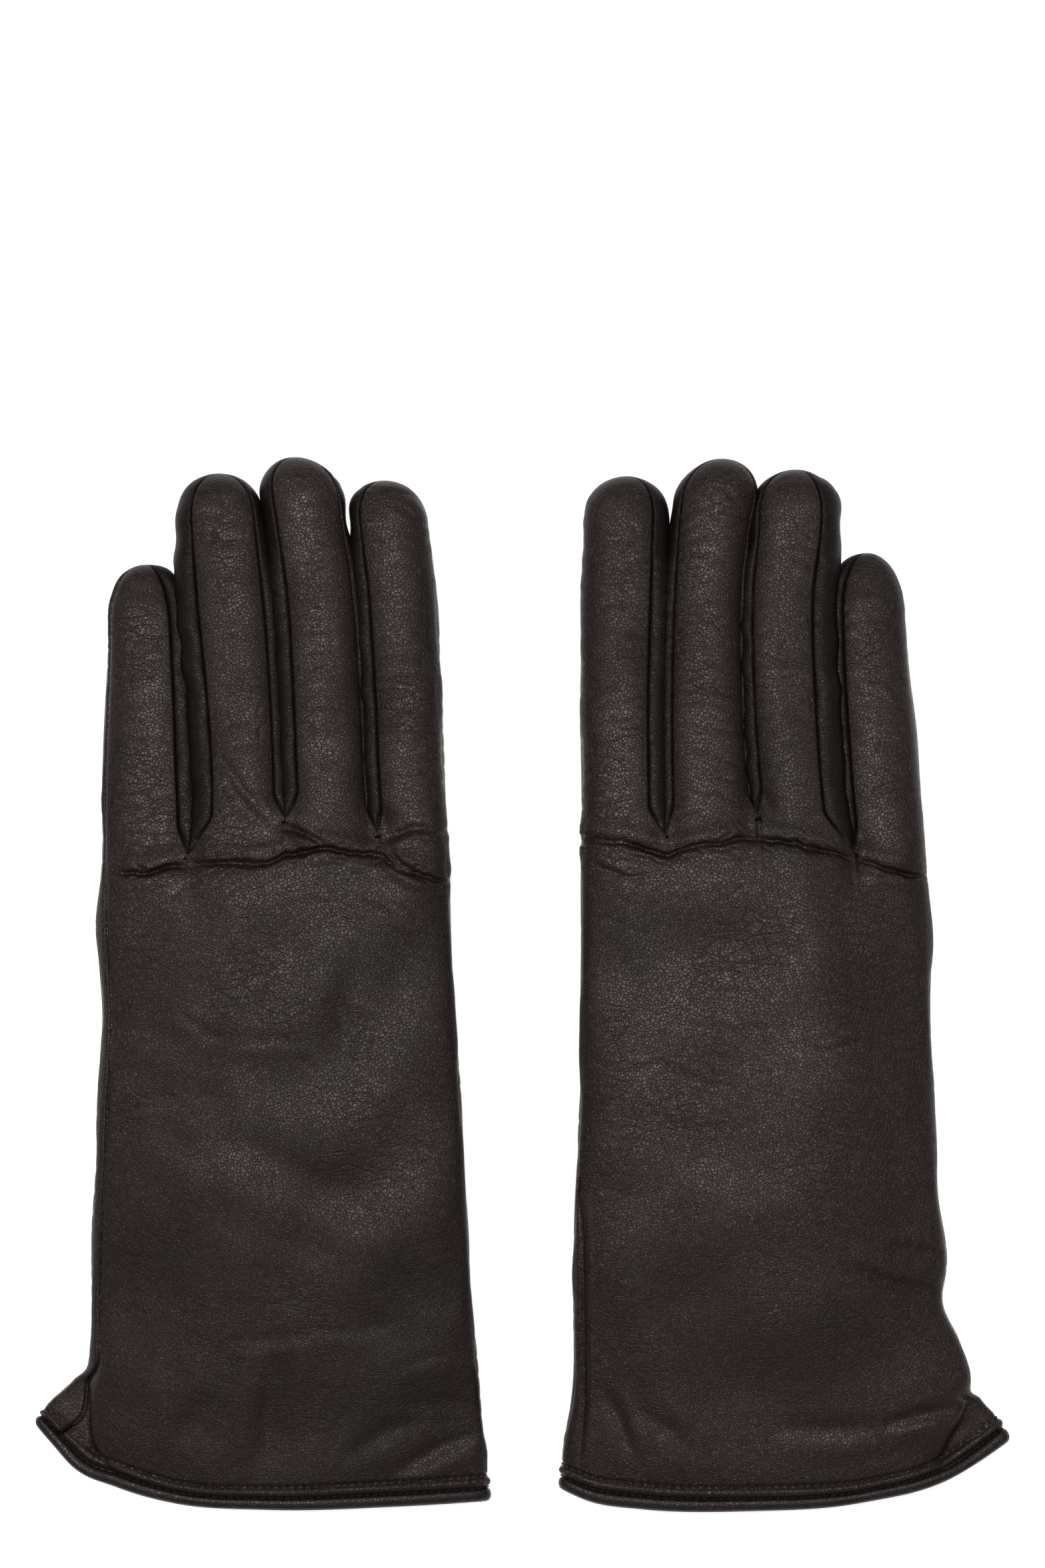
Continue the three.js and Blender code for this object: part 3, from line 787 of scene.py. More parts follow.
# %% [markdown]
# ## Building the panels of one glove
# All the grids of a glove are made together. Where two grids of the trank meet, their normals
# are averaged, so that both move the same way under the relief and shade as one sheet. The
# fourchettes follow the trank's edges twice: under the relief, and again once the seams are
# rolled.

# %% Panels as grids
def outward_sign(name):
    """1 where the cross product of a grid's columns and rows points out of the glove."""
    if "fourchette" in name:
        return -1 if name.endswith("little") else 1
    return 1 if name.endswith("back") else -1


def glove_panels(glove):
    """Every leather grid of a glove: points, and whether its first and last column is a seam."""
    panels = {
        "back": [trank_sheet(glove, "back"), True, False],
        "palm": [trank_sheet(glove, "palm"), True, False],
    }
    for name in CROTCH_ORDER:
        for face in ("back", "palm"):
            panels[f"{name}_{face}"] = [finger_strip(glove, name, face), True, name != "index"]
        for toward in glove["fingers"][name]["seams"]:
            panels[f"{name}_fourchette_{toward}"] = [fourchette_strip(glove, name, toward), True, True]
    return panels


def weld_normals(panels):
    """Averages the normals of points that several panels share."""
    flat = np.concatenate([p["points"].reshape(-1, 3) for p in panels])
    normal = np.concatenate([p["normals"].reshape(-1, 3) for p in panels])
    _, group = np.unique(np.round(flat, 3), axis=0, return_inverse=True)
    group = group.ravel()
    summed = np.zeros((group.max() + 1, 3))
    np.add.at(summed, group, normal)
    shared = summed[group]
    shared /= np.maximum(np.linalg.norm(shared, axis=1, keepdims=True), 1e-9)
    start = 0
    for p in panels:
        count = p["points"].shape[0] * p["points"].shape[1]
        p["normals"] = shared[start : start + count].reshape(p["points"].shape)
        start += count


def finger_of(name):
    return next((f for f in CROTCH_ORDER if name.startswith(f)), None)


def from_hem(points):
    """Distances of a sheet's points from the hem and, along the hem, from the index fold."""
    steps = np.linalg.norm(np.diff(points, axis=0), axis=-1)
    above = np.concatenate([np.zeros((1, points.shape[1])), np.cumsum(steps, axis=0)])
    row = np.linalg.norm(np.diff(points[0, ::-1], axis=0), axis=-1)
    along = np.concatenate([[0], np.cumsum(row)])[::-1]
    return above, along


def relief_of(side, name, p):
    """Height in mm of a panel's relief; keeps how far each point lies above the hem."""
    x, y = p["points"][..., 0], p["points"][..., 1]
    up = ease(-0.15, 0.35, p["normals"][..., 2])
    height = mix(palm_relief(side, x, y), back_relief(side, x, y), up)
    finger = finger_of(name)
    if finger:
        height = height * ease(0, 3, OUTLINES[side]["fingers"][finger]["tip"][1] - y)
    if not finger:
        above, along = from_hem(p["points"])
        p["above"] = above
        height = height * mix(0.3, 1, ease(UPPER_ROW - 1, UPPER_ROW + 6, above))
        height = height + hem_relief(above, along)
    return np.where(height < -1.2, -1.2 + 0.75 * np.tanh((height + 1.2) / 0.75), height)


def lift_of(normals):
    """Directions to raise a sheet in: straight up or down on its flat sides, so nothing crosses."""
    flatness = ease(0.2, 0.65, np.abs(normals[..., 2]))[..., None]
    upright = np.zeros(normals.shape)
    upright[..., 2] = np.sign(normals[..., 2])
    lift = mix(normals, upright, flatness)
    return lift / np.linalg.norm(lift, axis=-1, keepdims=True)


def roll_seams(side, name, p):
    """Rolls in those edges of a panel that are sewn, less and less towards a fingertip."""
    rows = len(p["points"])
    radius, full = np.full(rows, SEAM_RADIUS), np.ones(rows)
    finger = finger_of(name)
    if finger:
        outline = OUTLINES[side]["fingers"][finger]
        to_tip = outline["tip"][1] - finger_rows(OUTLINES[side], finger)
        radius = SEAM_RADIUS * np.sqrt(np.clip(to_tip / 4, 0, 1))
        full = ease(0, 4, np.arange(rows) * ROW_STEP)
    start, end = p["seams"]
    if start:
        outseam = name in ("back", "palm", "little_back", "little_palm")
        full_here, wide = (np.ones(rows), OUTSEAM_RADIUS / SEAM_RADIUS) if outseam else (full, 1)
        p["points"] = roll_in(p["points"], p["normals"], radius * wide, full_here)
    if end:
        turned = roll_in(p["points"][:, ::-1], p["normals"][:, ::-1], radius, full)
        p["points"] = turned[:, ::-1]


FOURCHETTE_SWELL = 0.9  # given twice, under the relief and after the rolling


def follow_edges(side, name, p, panels):
    """Moves a fourchette's edges onto the trank's, and swells and creases its middle a little."""
    column = 0 if name.endswith("little") else -1
    finger = finger_of(name)
    top = panels[f"{finger}_back"]["points"][:, column] - p["points"][:, 0]
    bottom = panels[f"{finger}_palm"]["points"][:, column] - p["points"][:, -1]
    across = np.linspace(0, 1, p["points"].shape[1])[:, None]
    moved = p["points"] + top[:, None] * (1 - ease(0, 0.5, across)) + bottom[:, None] * ease(0.5, 1, across)
    seed = 83 + len(name) + (side == "right")
    net = wrinkle_net(p["points"][..., 2] * 3, p["points"][..., 1], seed, 6, 13, 0.5, 0.7)
    soft, _ = waves(p["points"][..., 2] * 2, p["points"][..., 1], seed + 1, 9, 22, 0.5)
    reach = np.arange(len(moved)) * ROW_STEP
    inner = np.sin(math.pi * across[:, 0]) * (ease(0, 8, reach) * ease(0, 6, reach[::-1]))[:, None]
    towards_tip = ease(96, 122, p["points"][..., 1])
    swell = FOURCHETTE_SWELL * np.sin(math.pi * across[:, 0]) ** 0.7 * (1 - towards_tip)
    p["points"] = moved + p["normals"] * ((swell + 0.08 * soft - 0.12 * net) * inner)[..., None]


def shaped_panels(side):
    """The panels with their relief and rolled seams, in glove space."""
    panels = {}
    for name, (points, seam_start, seam_end) in glove_panels(OUTLINES[side]).items():
        panels[name] = {"points": points, "seams": (seam_start, seam_end)}
    sheets = {name: p for name, p in panels.items() if "fourchette" not in name}
    fourchettes = {name: p for name, p in panels.items() if "fourchette" in name}

    def renew_normals():
        for name, p in panels.items():
            p["normals"] = outward_sign(name) * grid_normals(p["points"])
        weld_normals(list(sheets.values()))

    renew_normals()
    for name, p in sheets.items():
        p["plain"] = p["points"], p["normals"]
        p["points"] = p["points"] + lift_of(p["normals"]) * relief_of(side, name, p)[..., None]
    for name, p in fourchettes.items():
        follow_edges(side, name, p, panels)
    renew_normals()
    for name, p in panels.items():
        roll_seams(side, name, p)
    for name, p in fourchettes.items():
        follow_edges(side, name, p, panels)
    renew_normals()
    return panels


print("the back's grid faces out as drawn:", outward_sign("back") > 0)

# %% [markdown]
# ## From grid to leather
# A panel starts as Blender's own grid, whose vertices are then moved to their places. Rows that
# end in one point are merged, and extruding the whole grid along its normals gives the leather
# its thickness. The normals averaged over shared edges are kept as custom normals.

# %% Make a mesh piece from a grid
def glove_middle(side):
    """Where the middle of a hand lies in the frame."""
    low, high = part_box(f"{side}_hand_trank")
    return (low[0] + high[0]) / 2


MIDDLES = {side: glove_middle(side) for side in OUTLINES}
PIECES = {}
SAME_PLACE = 0.004  # millimetres between points that are merged


def to_frame(side, points):
    """Glove space in millimetres to the frame in metres."""
    placed = np.array(points, float) * MM
    placed[..., 0] = MIDDLES[side] + OUTLINES[side]["mirror"] * placed[..., 0]
    return placed


def add_piece(name, side, mesh, material):
    """Puts a mesh in the scene as a piece of one glove."""
    mesh.materials.append(material)
    obj = bpy.data.objects.new(f"{side}_{name}", mesh)
    bpy.context.collection.objects.link(obj)
    PIECES[side, name] = obj
    return obj


def grid_piece(name, side, points, normals, material, slot="leather", thickness=LEATHER):
    """A mesh object from a grid of points in glove space, with its thickness inwards."""
    placed = to_frame(side, points)
    facing = np.array(normals)
    facing[..., 0] *= OUTLINES[side]["mirror"]
    rows, columns = points.shape[:2]
    bm = bmesh.new()
    keep = bm.verts.layers.float_vector.new("facing")
    bmesh.ops.create_grid(bm, x_segments=columns - 1, y_segments=rows - 1, size=1)
    places, turns = placed.reshape(-1, 3).tolist(), facing.reshape(-1, 3).tolist()
    for vertex, place, turn in zip(bm.verts, places, turns):
        vertex.co = place
        vertex[keep] = turn
    natural = np.cross(np.gradient(placed, axis=1), np.gradient(placed, axis=0))
    if (natural * facing).sum() < 0:
        bmesh.ops.reverse_faces(bm, faces=bm.faces[:])
    bmesh.ops.remove_doubles(bm, verts=bm.verts[:], dist=SAME_PLACE * MM)
    outer = bm.faces[:]
    inner = bm.verts[:]
    bmesh.ops.extrude_face_region(bm, geom=outer, use_keep_orig=True)
    bmesh.ops.reverse_faces(bm, faces=outer)
    for vertex in inner:
        turn = vertex[keep]
        vertex.co -= thickness * MM * turn
        vertex[keep] = -turn
    mesh = bpy.data.meshes.new(name)
    bm.to_mesh(mesh)
    bm.free()
    mesh.polygons.foreach_set("use_smooth", [True] * len(mesh.polygons))
    wanted = np.zeros(len(mesh.vertices) * 3, np.float32)
    mesh.attributes["facing"].data.foreach_get("vector", wanted)
    mesh.normals_split_custom_set_from_vertices(wanted.reshape(-1, 3).tolist())
    mesh.attributes.remove(mesh.attributes["facing"])
    return add_piece(name, side, mesh, material)


print("middles of the hands:", MIDDLES)

# %% [markdown]
# ## Leather, edge leather, knit and thread
# Gloves like these are cut from thin lambskin, dyed black-brown through and through, with a
# soft satin finish. The grain is a net of tiny creases round cells about a millimetre across.
# Cells come from a Voronoi texture's distance to the edge, with its coordinates pushed about
# by noise. The grain is one node group, so that every leather here gets it at its own scale.

# %% A node group for leather grain
def socket(group, name, kind, way, value=None):
    made = group.interface.new_socket(name, in_out=way, socket_type=kind)
    if value is not None:
        made.default_value = value


def link(tree, source, target):
    tree.links.new(source, target)


def node(tree, kind, **settings):
    made = tree.nodes.new(kind)
    for name, value in settings.items():
        setattr(made, name, value)
    return made


def math_node(tree, operation, first, second):
    made = node(tree, "ShaderNodeMath", operation=operation)
    for slot, value in zip(made.inputs, (first, second)):
        if isinstance(value, (int, float)):
            slot.default_value = value
        else:
            link(tree, value, slot)
    return made.outputs[0]


def remap(tree, value, low, high, to_low=0.0, to_high=1.0):
    made = node(tree, "ShaderNodeMapRange", interpolation_type="SMOOTHSTEP")
    link(tree, value, made.inputs["Value"])
    for name, number in (("From Min", low), ("From Max", high), ("To Min", to_low), ("To Max", to_high)):
        made.inputs[name].default_value = number
    return made.outputs["Result"]


def noise(tree, vector, scale, detail=3.0):
    made = node(tree, "ShaderNodeTexNoise")
    made.inputs["Scale"].default_value = scale
    made.inputs["Detail"].default_value = detail
    link(tree, vector, made.inputs["Vector"])
    return made


def grain_group():
    group = bpy.data.node_groups.new("leather_grain", "ShaderNodeTree")
    socket(group, "Vector", "NodeSocketVector", "INPUT")
    socket(group, "Cell Scale", "NodeSocketFloat", "INPUT", 800.0)
    socket(group, "Wrinkles", "NodeSocketFloat", "INPUT", 1.0)
    socket(group, "Height", "NodeSocketFloat", "OUTPUT")
    socket(group, "Creases", "NodeSocketFloat", "OUTPUT")
    socket(group, "Clouds", "NodeSocketFloat", "OUTPUT")
    given = node(group, "NodeGroupInput")
    result = node(group, "NodeGroupOutput")
    vector = given.outputs["Vector"]

    push = noise(group, vector, 300.0, 2.0)
    shift = node(group, "ShaderNodeVectorMath", operation="MULTIPLY_ADD")
    link(group, push.outputs["Color"], shift.inputs[0])
    shift.inputs[1].default_value = (0.0016, 0.0016, 0.0016)
    link(group, vector, shift.inputs[2])
    pushed = shift.outputs["Vector"]

    cells = node(group, "ShaderNodeTexVoronoi", feature="DISTANCE_TO_EDGE")
    link(group, pushed, cells.inputs["Vector"])
    link(group, given.outputs["Cell Scale"], cells.inputs["Scale"])
    pebbles = remap(group, cells.outputs["Distance"], 0.0, 0.16)
    fine = node(group, "ShaderNodeTexVoronoi", feature="DISTANCE_TO_EDGE")
    link(group, pushed, fine.inputs["Vector"])
    link(group, math_node(group, "MULTIPLY", given.outputs["Cell Scale"], 2.1), fine.inputs["Scale"])
    pores = remap(group, fine.outputs["Distance"], 0.0, 0.25)

    # Longer wrinkles: the edges of big cells that are squeezed in the glove's length.
    squeeze = node(group, "ShaderNodeMapping")
    squeeze.inputs["Scale"].default_value = (0.4, 1.0, 0.8)
    link(group, pushed, squeeze.inputs["Vector"])
    wander = noise(group, squeeze.outputs["Vector"], 120.0, 3.0)
    bend = node(group, "ShaderNodeVectorMath", operation="MULTIPLY_ADD")
    link(group, wander.outputs["Color"], bend.inputs[0])
    bend.inputs[1].default_value = (0.006, 0.006, 0.006)
    link(group, squeeze.outputs["Vector"], bend.inputs[2])
    long_cells = node(group, "ShaderNodeTexVoronoi", feature="DISTANCE_TO_EDGE")
    long_cells.inputs["Scale"].default_value = 430.0
    link(group, bend.outputs["Vector"], long_cells.inputs["Vector"])
    lines = remap(group, long_cells.outputs["Distance"], 0.0, 0.09, 1.0, 0.0)
    where = remap(group, noise(group, vector, 38.0, 2.0).outputs["Fac"], 0.48, 0.62)
    wrinkles = math_node(group, "MULTIPLY", lines, where)
    wrinkles = math_node(group, "MULTIPLY", wrinkles, given.outputs["Wrinkles"])

    small = math_node(group, "MULTIPLY", pores, 0.3)
    height = math_node(group, "ADD", math_node(group, "MULTIPLY", pebbles, 0.7), small)
    height = math_node(group, "SUBTRACT", height, math_node(group, "MULTIPLY", wrinkles, 0.9))
    # Creases: 1 in the grain's cracks and long wrinkles. The leathers darken their colour there, as painted
    # shade, and roughen it.
    creases = math_node(group, "MAXIMUM", math_node(group, "SUBTRACT", 1.0, pebbles), wrinkles)
    link(group, height, result.inputs["Height"])
    link(group, creases, result.inputs["Creases"])
    link(group, noise(group, vector, 22.0, 4.0).outputs["Fac"], result.inputs["Clouds"])
    return group


GRAIN = grain_group()
print("sockets of the grain group:", [s.name for s in GRAIN.interface.items_tree])

# %% Leather materials
def leather_material(name, dark, light, roughness, cell_scale, wrinkles, depth, shine):
    """Satin glove leather: its colour with painted shade in the grain's creases, its grain and its sheen.
    The grain's depth is in millimetres.
    """
    material = bpy.data.materials.new(name)
    material.use_nodes = True
    tree = material.node_tree
    shader = tree.nodes["Principled BSDF"]
    place = node(tree, "ShaderNodeTexCoord")
    grain = node(tree, "ShaderNodeGroup", node_tree=GRAIN)
    grain.inputs["Cell Scale"].default_value = cell_scale
    grain.inputs["Wrinkles"].default_value = wrinkles
    link(tree, place.outputs["Object"], grain.inputs["Vector"])

    dye_and_crease_shade = node(tree, "ShaderNodeMix", data_type="RGBA")
    dye_and_crease_shade.inputs[6].default_value = (*dark, 1)
    dye_and_crease_shade.inputs[7].default_value = (*light, 1)
    # The clouds pick a random tone between the dark and light dye; the grain's creases and wrinkles pull it
    # to the dark end, as painted shade.
    tone_with_crease_shade = remap(tree, grain.outputs["Clouds"], 0.3, 0.7)
    tone_with_crease_shade = math_node(tree, "MULTIPLY", tone_with_crease_shade, math_node(tree, "SUBTRACT", 1.0, grain.outputs["Creases"]))
    link(tree, tone_with_crease_shade, dye_and_crease_shade.inputs[0])
    link(tree, dye_and_crease_shade.outputs[2], shader.inputs["Base Color"])

    gloss = remap(tree, grain.outputs["Clouds"], 0.3, 0.7, roughness + 0.05, roughness - 0.05)
    gloss = math_node(tree, "ADD", gloss, math_node(tree, "MULTIPLY", grain.outputs["Creases"], 0.15))
    link(tree, gloss, shader.inputs["Roughness"])
    bump = node(tree, "ShaderNodeBump")
    bump.inputs["Strength"].default_value = 1.0
    bump.inputs["Distance"].default_value = depth * MM
    link(tree, grain.outputs["Height"], bump.inputs["Height"])
    link(tree, bump.outputs["Normal"], shader.inputs["Normal"])
    shader.inputs["IOR"].default_value = 1.42
    shader.inputs["Specular Tint"].default_value = (1.0, 0.91, 0.89, 1.0)
    shader.inputs["Specular IOR Level"].default_value = shine
    return material


# Name, dark and light dye, roughness, cells per metre, wrinkles, depth of the grain, shine.
TRANK_LEATHER = (
    "trank_leather", (0.007, 0.0033, 0.0023), (0.02, 0.0115, 0.0088), 0.34, 1150, 1.0, 0.07, 0.5,
)
# The fourchettes get a darker, less shiny copy of the trank leather: painted shade for the strips that face
# into the gaps between the fingers.
FOURCHETTE_SHADED_LEATHER = (
    "fourchette_leather", (0.004, 0.0023, 0.0019), (0.0095, 0.006, 0.005), 0.4, 1150, 0.6, 0.06, 0.3,
)
BINDING_LEATHER = (
    "binding_leather", (0.0055, 0.003, 0.0024), (0.0135, 0.0082, 0.0066), 0.34, 1200, 0.4, 0.055, 0.5,
)
LEATHERS = {
    "trank": leather_material(*TRANK_LEATHER),
    # The darker side leather is painted shade for the fourchettes between the fingers.
    "side": leather_material(*FOURCHETTE_SHADED_LEATHER),
    "binding": leather_material(*BINDING_LEATHER),
}


def plain_cloth(name, color, scale):
    """Fine knit or twisted thread: ribs across a soft rough surface."""
    material = bpy.data.materials.new(name)
    material.use_nodes = True
    tree = material.node_tree
    shader = tree.nodes["Principled BSDF"]
    place = node(tree, "ShaderNodeTexCoord")
    ribs = node(tree, "ShaderNodeTexWave")
    ribs.inputs["Scale"].default_value = scale
    ribs.inputs["Distortion"].default_value = 2.0
    link(tree, place.outputs["Object"], ribs.inputs["Vector"])
    shade = node(tree, "ShaderNodeMix", data_type="RGBA")
    shade.inputs[6].default_value = (*[0.5 * c for c in color], 1)
    shade.inputs[7].default_value = (*color, 1)
    link(tree, ribs.outputs["Fac"], shade.inputs[0])
    link(tree, shade.outputs[2], shader.inputs["Base Color"])
    shader.inputs["Roughness"].default_value = 0.9
    bump = node(tree, "ShaderNodeBump")
    bump.inputs["Distance"].default_value = 0.15 * MM
    link(tree, ribs.outputs["Fac"], bump.inputs["Height"])
    link(tree, bump.outputs["Normal"], shader.inputs["Normal"])
    return material


KNIT = plain_cloth("knit_lining", (0.03, 0.028, 0.028), 420)
THREAD = plain_cloth("thread", (0.006, 0.006, 0.010), 900)
print("materials:", ", ".join(material.name for material in bpy.data.materials))

# %% [markdown]
# ## How the leather pieces are placed
# The hand and cuff leathers cross the wrist, and a finger's leathers start on the hand. These
# pieces and the linings keep their places in the frame: each has its transform baked into its
# mesh and is tied to no body.


def follow(obj):
    """Bakes a piece's transform into its mesh; the piece is tied to no body."""
    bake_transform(obj)


# %% [markdown]
# ## The leather of both gloves
# The index finger has a seam only towards the middle finger, so its back and its palm side are
# one strip folded round the outer edge: their grids are joined before the mesh is made.

# %% Cut and place the leather
FOURCHETTES = {
    "index_fourchette_little": "index_fourchette",
    "middle_fourchette_index": "middle_fourchette_index_side",
    "middle_fourchette_little": "middle_fourchette_ring_side",
    "ring_fourchette_index": "ring_fourchette_middle_side",
    "ring_fourchette_little": "ring_fourchette_little_side",
    "little_fourchette_index": "little_fourchette",
}
GLOVE_PANELS = {side: shaped_panels(side) for side in OUTLINES}
for side, panels in GLOVE_PANELS.items():
    for face, nodes in (("back", ("hand_trank", "cuff_back")), ("palm", ("hand_trank", "cuff_palm"))):
        p = panels[face]
        made = grid_piece(f"{face}_leather", side, p["points"], p["normals"], LEATHERS["trank"])
        follow(made)
        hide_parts(*[f"{side}_{n}" for n in nodes])
    for name in CROTCH_ORDER[:3]:
        for face in ("back", "palm"):
            p = panels[f"{name}_{face}"]
            made = grid_piece(f"{name}_{face}_leather", side, p["points"], p["normals"], LEATHERS["trank"])
            follow(made)
            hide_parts(f"{side}_{name}_{face}")
    joined = [
        np.concatenate([panels["index_back"][key], panels["index_palm"][key][:, -2::-1]], axis=1)
        for key in ("points", "normals")
    ]
    made = grid_piece("index_leather", side, *joined, LEATHERS["trank"])
    follow(made)
    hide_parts(f"{side}_index_trank")
    for name, cad_node in FOURCHETTES.items():
        p = panels[name]
        made = grid_piece(f"{cad_node}_leather", side, p["points"], p["normals"], LEATHERS["side"])
        follow(made)
        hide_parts(f"{side}_{cad_node}")
    print(side, "leather pieces:", sum(1 for key in PIECES if key[0] == side))

# %% [markdown]
# ## The binding and its stitches
# A strip of leather is folded over the cuff's edge and sewn through. Its section, a narrow U,
# is carried all the way round the mouth: each row of the grid is one place round the hem, each
# column one point of the section.

# %% Walk round the hem
def hem_ring(panels, above, key="points"):
    """Points at a distance above the edge, all round: back from seam to fold, then the palm."""
    ring, facing = [], []
    for face in ("back", "palm"):
        p = panels[face]
        points, normals = (p["points"], p["normals"]) if key == "points" else p[key]
        row = np.array([np.searchsorted(p["above"][:, c], above) for c in range(points.shape[1])])
        columns = np.arange(points.shape[1])
        low, high = np.maximum(row - 1, 0), row
        below, beyond = p["above"][low, columns], p["above"][high, columns]
        share = (above - below) / np.maximum(beyond - below, 1e-6)
        share = np.clip(share, 0, 1)[:, None]
        place = mix(points[low, columns], points[high, columns], share)
        turn = normals[high, columns]
        back = face == "back"
        ring.append(place if back else place[-2::-1])
        facing.append(turn if back else turn[-2::-1])
    return np.concatenate(ring), np.concatenate(facing)


def even_loop(points, values, step):
    """A closed loop and its values cut again at even steps."""
    closed = np.concatenate([points, points[:1]])
    length = np.concatenate([[0], np.cumsum(np.linalg.norm(np.diff(closed, axis=0), axis=1))])
    count = round(length[-1] / step)
    at = np.linspace(0, length[-1], count + 1)
    cut = []
    for grid in (points, *values):
        looped = np.concatenate([grid, grid[:1]])
        cut.append(np.stack([np.interp(at, length, looped[:, i]) for i in range(3)], axis=1))
    return cut


hem_places, _ = hem_ring(GLOVE_PANELS["left"], 0.0)
hem_length = np.linalg.norm(np.diff(hem_places, axis=0), axis=1).sum()
print("round the left hem:", round(float(hem_length)), "mm")

# %% Binding
BINDING_SECTION = [  # out from the leather's face, up from its edge
    (-0.45, 3.0), (0.05, 2.85), (0.42, 2.5), (0.62, 1.95), (0.66, 1.35), (0.58, 0.75), (0.36, 0.25),
    (0.0, -0.15), (-0.5, -0.42), (-1.0, -0.5), (-1.5, -0.42), (-2.0, -0.15), (-2.35, 0.3),
    (-2.55, 0.9), (-2.62, 1.8), (-2.6, 3.0), (-2.55, 4.4), (-2.5, 5.8), (-2.3, 6.8),
]

for side, panels in GLOVE_PANELS.items():
    edge, _ = hem_ring(panels, 0.0, "plain")
    higher, _ = hem_ring(panels, 3.0, "plain")
    up = (higher - edge) / 3.0
    columns = []
    for out, height in BINDING_SECTION:
        level, facing = hem_ring(panels, max(height, 0.0), "plain")
        columns.append(level + out * facing + min(height, 0.0) * up)
    grid = np.stack(even_loop(edge, columns, 0.6)[1:], axis=1)
    normals = grid_normals(grid)
    normals[0] = normals[-1] = (normals[0] + normals[-1]) / 2
    outwards = grid[:, 4] - grid[:, -4]
    sign = 1 if (normals[:, 4] * outwards).sum() > 0 else -1
    made = grid_piece("binding", side, grid, sign * normals, LEATHERS["binding"], "edge_leather", 0.6)
    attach(made, f"{side}_cuff")
    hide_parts(f"{side}_hem_binding")
    print(made.name, "faces:", len(made.data.polygons))

# %% Stitches
def stitch_row(side, name, panels, above, lift, length, thickness):
    """A row of short threads along the hem, one piece."""
    ring, out = hem_ring(panels, above)
    places, outs = even_loop(ring, (out,), STITCH_PITCH)
    bm = bmesh.new()
    mirror = OUTLINES[side]["mirror"]
    for i in range(len(places) - 1):
        along = places[(i + 1) % (len(places) - 1)] - places[i]
        along[0] *= mirror
        turned = outs[i] * [mirror, 1, 1]
        place = to_frame(side, places[i] + lift * outs[i])
        axis = Vector(along).normalized()
        up = Vector(turned).normalized()
        sideways = up.cross(axis).normalized()
        upwards = axis.cross(sideways)
        sides = (axis * length / 2, sideways * thickness / 2, upwards * thickness / 2)
        matrix = Matrix(sides).transposed()
        matrix = Matrix.Translation(Vector(place)) @ (matrix * MM).to_4x4()
        bmesh.ops.create_uvsphere(bm, u_segments=8, v_segments=5, radius=1, matrix=matrix)
    bmesh.ops.recalc_face_normals(bm, faces=bm.faces[:])
    mesh = bpy.data.meshes.new(name)
    bm.to_mesh(mesh)
    bm.free()
    mesh.polygons.foreach_set("use_smooth", [True] * len(mesh.polygons))
    made = add_piece(name, side, mesh, THREAD)
    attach(made, f"{side}_cuff")
    print(made.name, "stitches:", len(places) - 1)


for side, panels in GLOVE_PANELS.items():
    stitch_row(side, "upper_stitches", panels, UPPER_ROW, 0.02, 1.45, 0.5)
    stitch_row(side, "lower_stitches", panels, LOWER_ROW + 0.15, 0.05, 1.5, 0.55)

# %% [markdown]
# ## Linings
# A knit lining lies a millimetre or so inside the leather. It only shows in the mouth of the
# cuff, so it is a coarser tube made from every few rows and columns of the leather's own grids.
# It ends just short of the crotches, and the lining of each finger starts past them.

# %% Hand, cuff and finger linings
LINING_DEPTH = 2.3  # below the face of the leather
LINING = 0.5

for side, panels in GLOVE_PANELS.items():
    tube, facing = [], []
    for face in ("back", "palm"):
        points, normals = panels[face]["plain"]
        tube.append(points[4:-5:4, ::4])
        facing.append(lift_of(normals)[4:-5:4, ::4])
    tube = np.concatenate([tube[0], tube[1][:, -2::-1]], axis=1)
    facing = np.concatenate([facing[0], facing[1][:, -2::-1]], axis=1)
    inside = tube - LINING_DEPTH * facing
    made = grid_piece("tube_lining", side, inside, facing, KNIT, "knit_lining", LINING)
    follow(made)
    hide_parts(f"{side}_hand_lining", f"{side}_cuff_lining")
    glove = OUTLINES[side]
    for name in CROTCH_ORDER:
        tip_y = glove["fingers"][name]["tip"][1]
        rows = finger_rows(glove, name)[10::2]
        angles = np.linspace(0, 2 * math.pi, 41)
        grid = []
        for y in rows:
            middle, half, height, thick = finger_shape(glove, name, y)
            across, up = unit_ring(FINGER_SQUARENESS, angles)
            x = middle + max(half - 2.6, 0) * across
            z = height + max(thick - 2.4, 0) * up
            inset = 1.6 * ease(tip_y - 12, tip_y, y)
            grid.append(np.stack([x, place_rows(glove, x, y, tip_y) - inset, z], axis=-1))
        grid = np.array(grid)
        normals = grid_normals(grid)
        centre = grid.mean(axis=1, keepdims=True)
        sign = 1 if (normals * (grid - centre)).sum() > 0 else -1
        made = grid_piece(f"{name}_knit", side, grid, sign * normals, KNIT, "knit_lining", LINING)
        follow(made)
        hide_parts(f"{side}_{name}_lining")
    print(side, "pieces so far:", sum(1 for key in PIECES if key[0] == side))

# %% [markdown]
# ## The thumbs
# The thumb is a flat bag of its own, set into the palm and folded across it. It is drawn along
# its own line from the root to the tip, with one seam down its outer side.

# %% Thumb
THUMB_ROOT = (24.0, -25.5)
THUMB_FOLD = math.radians(55)
THUMB_LENGTH = 62.0
THUMB_ROOT_RADIUS = 15.0
THUMB_TIP = 14.0  # length over which the tip closes
THUMB_LINING_INSET = 1.7
THUMB_STATIONS = [(-15, 15), (0, 14.8), (12, 13.4), (26, 12.6), (46, 12.4), (62, 12)]


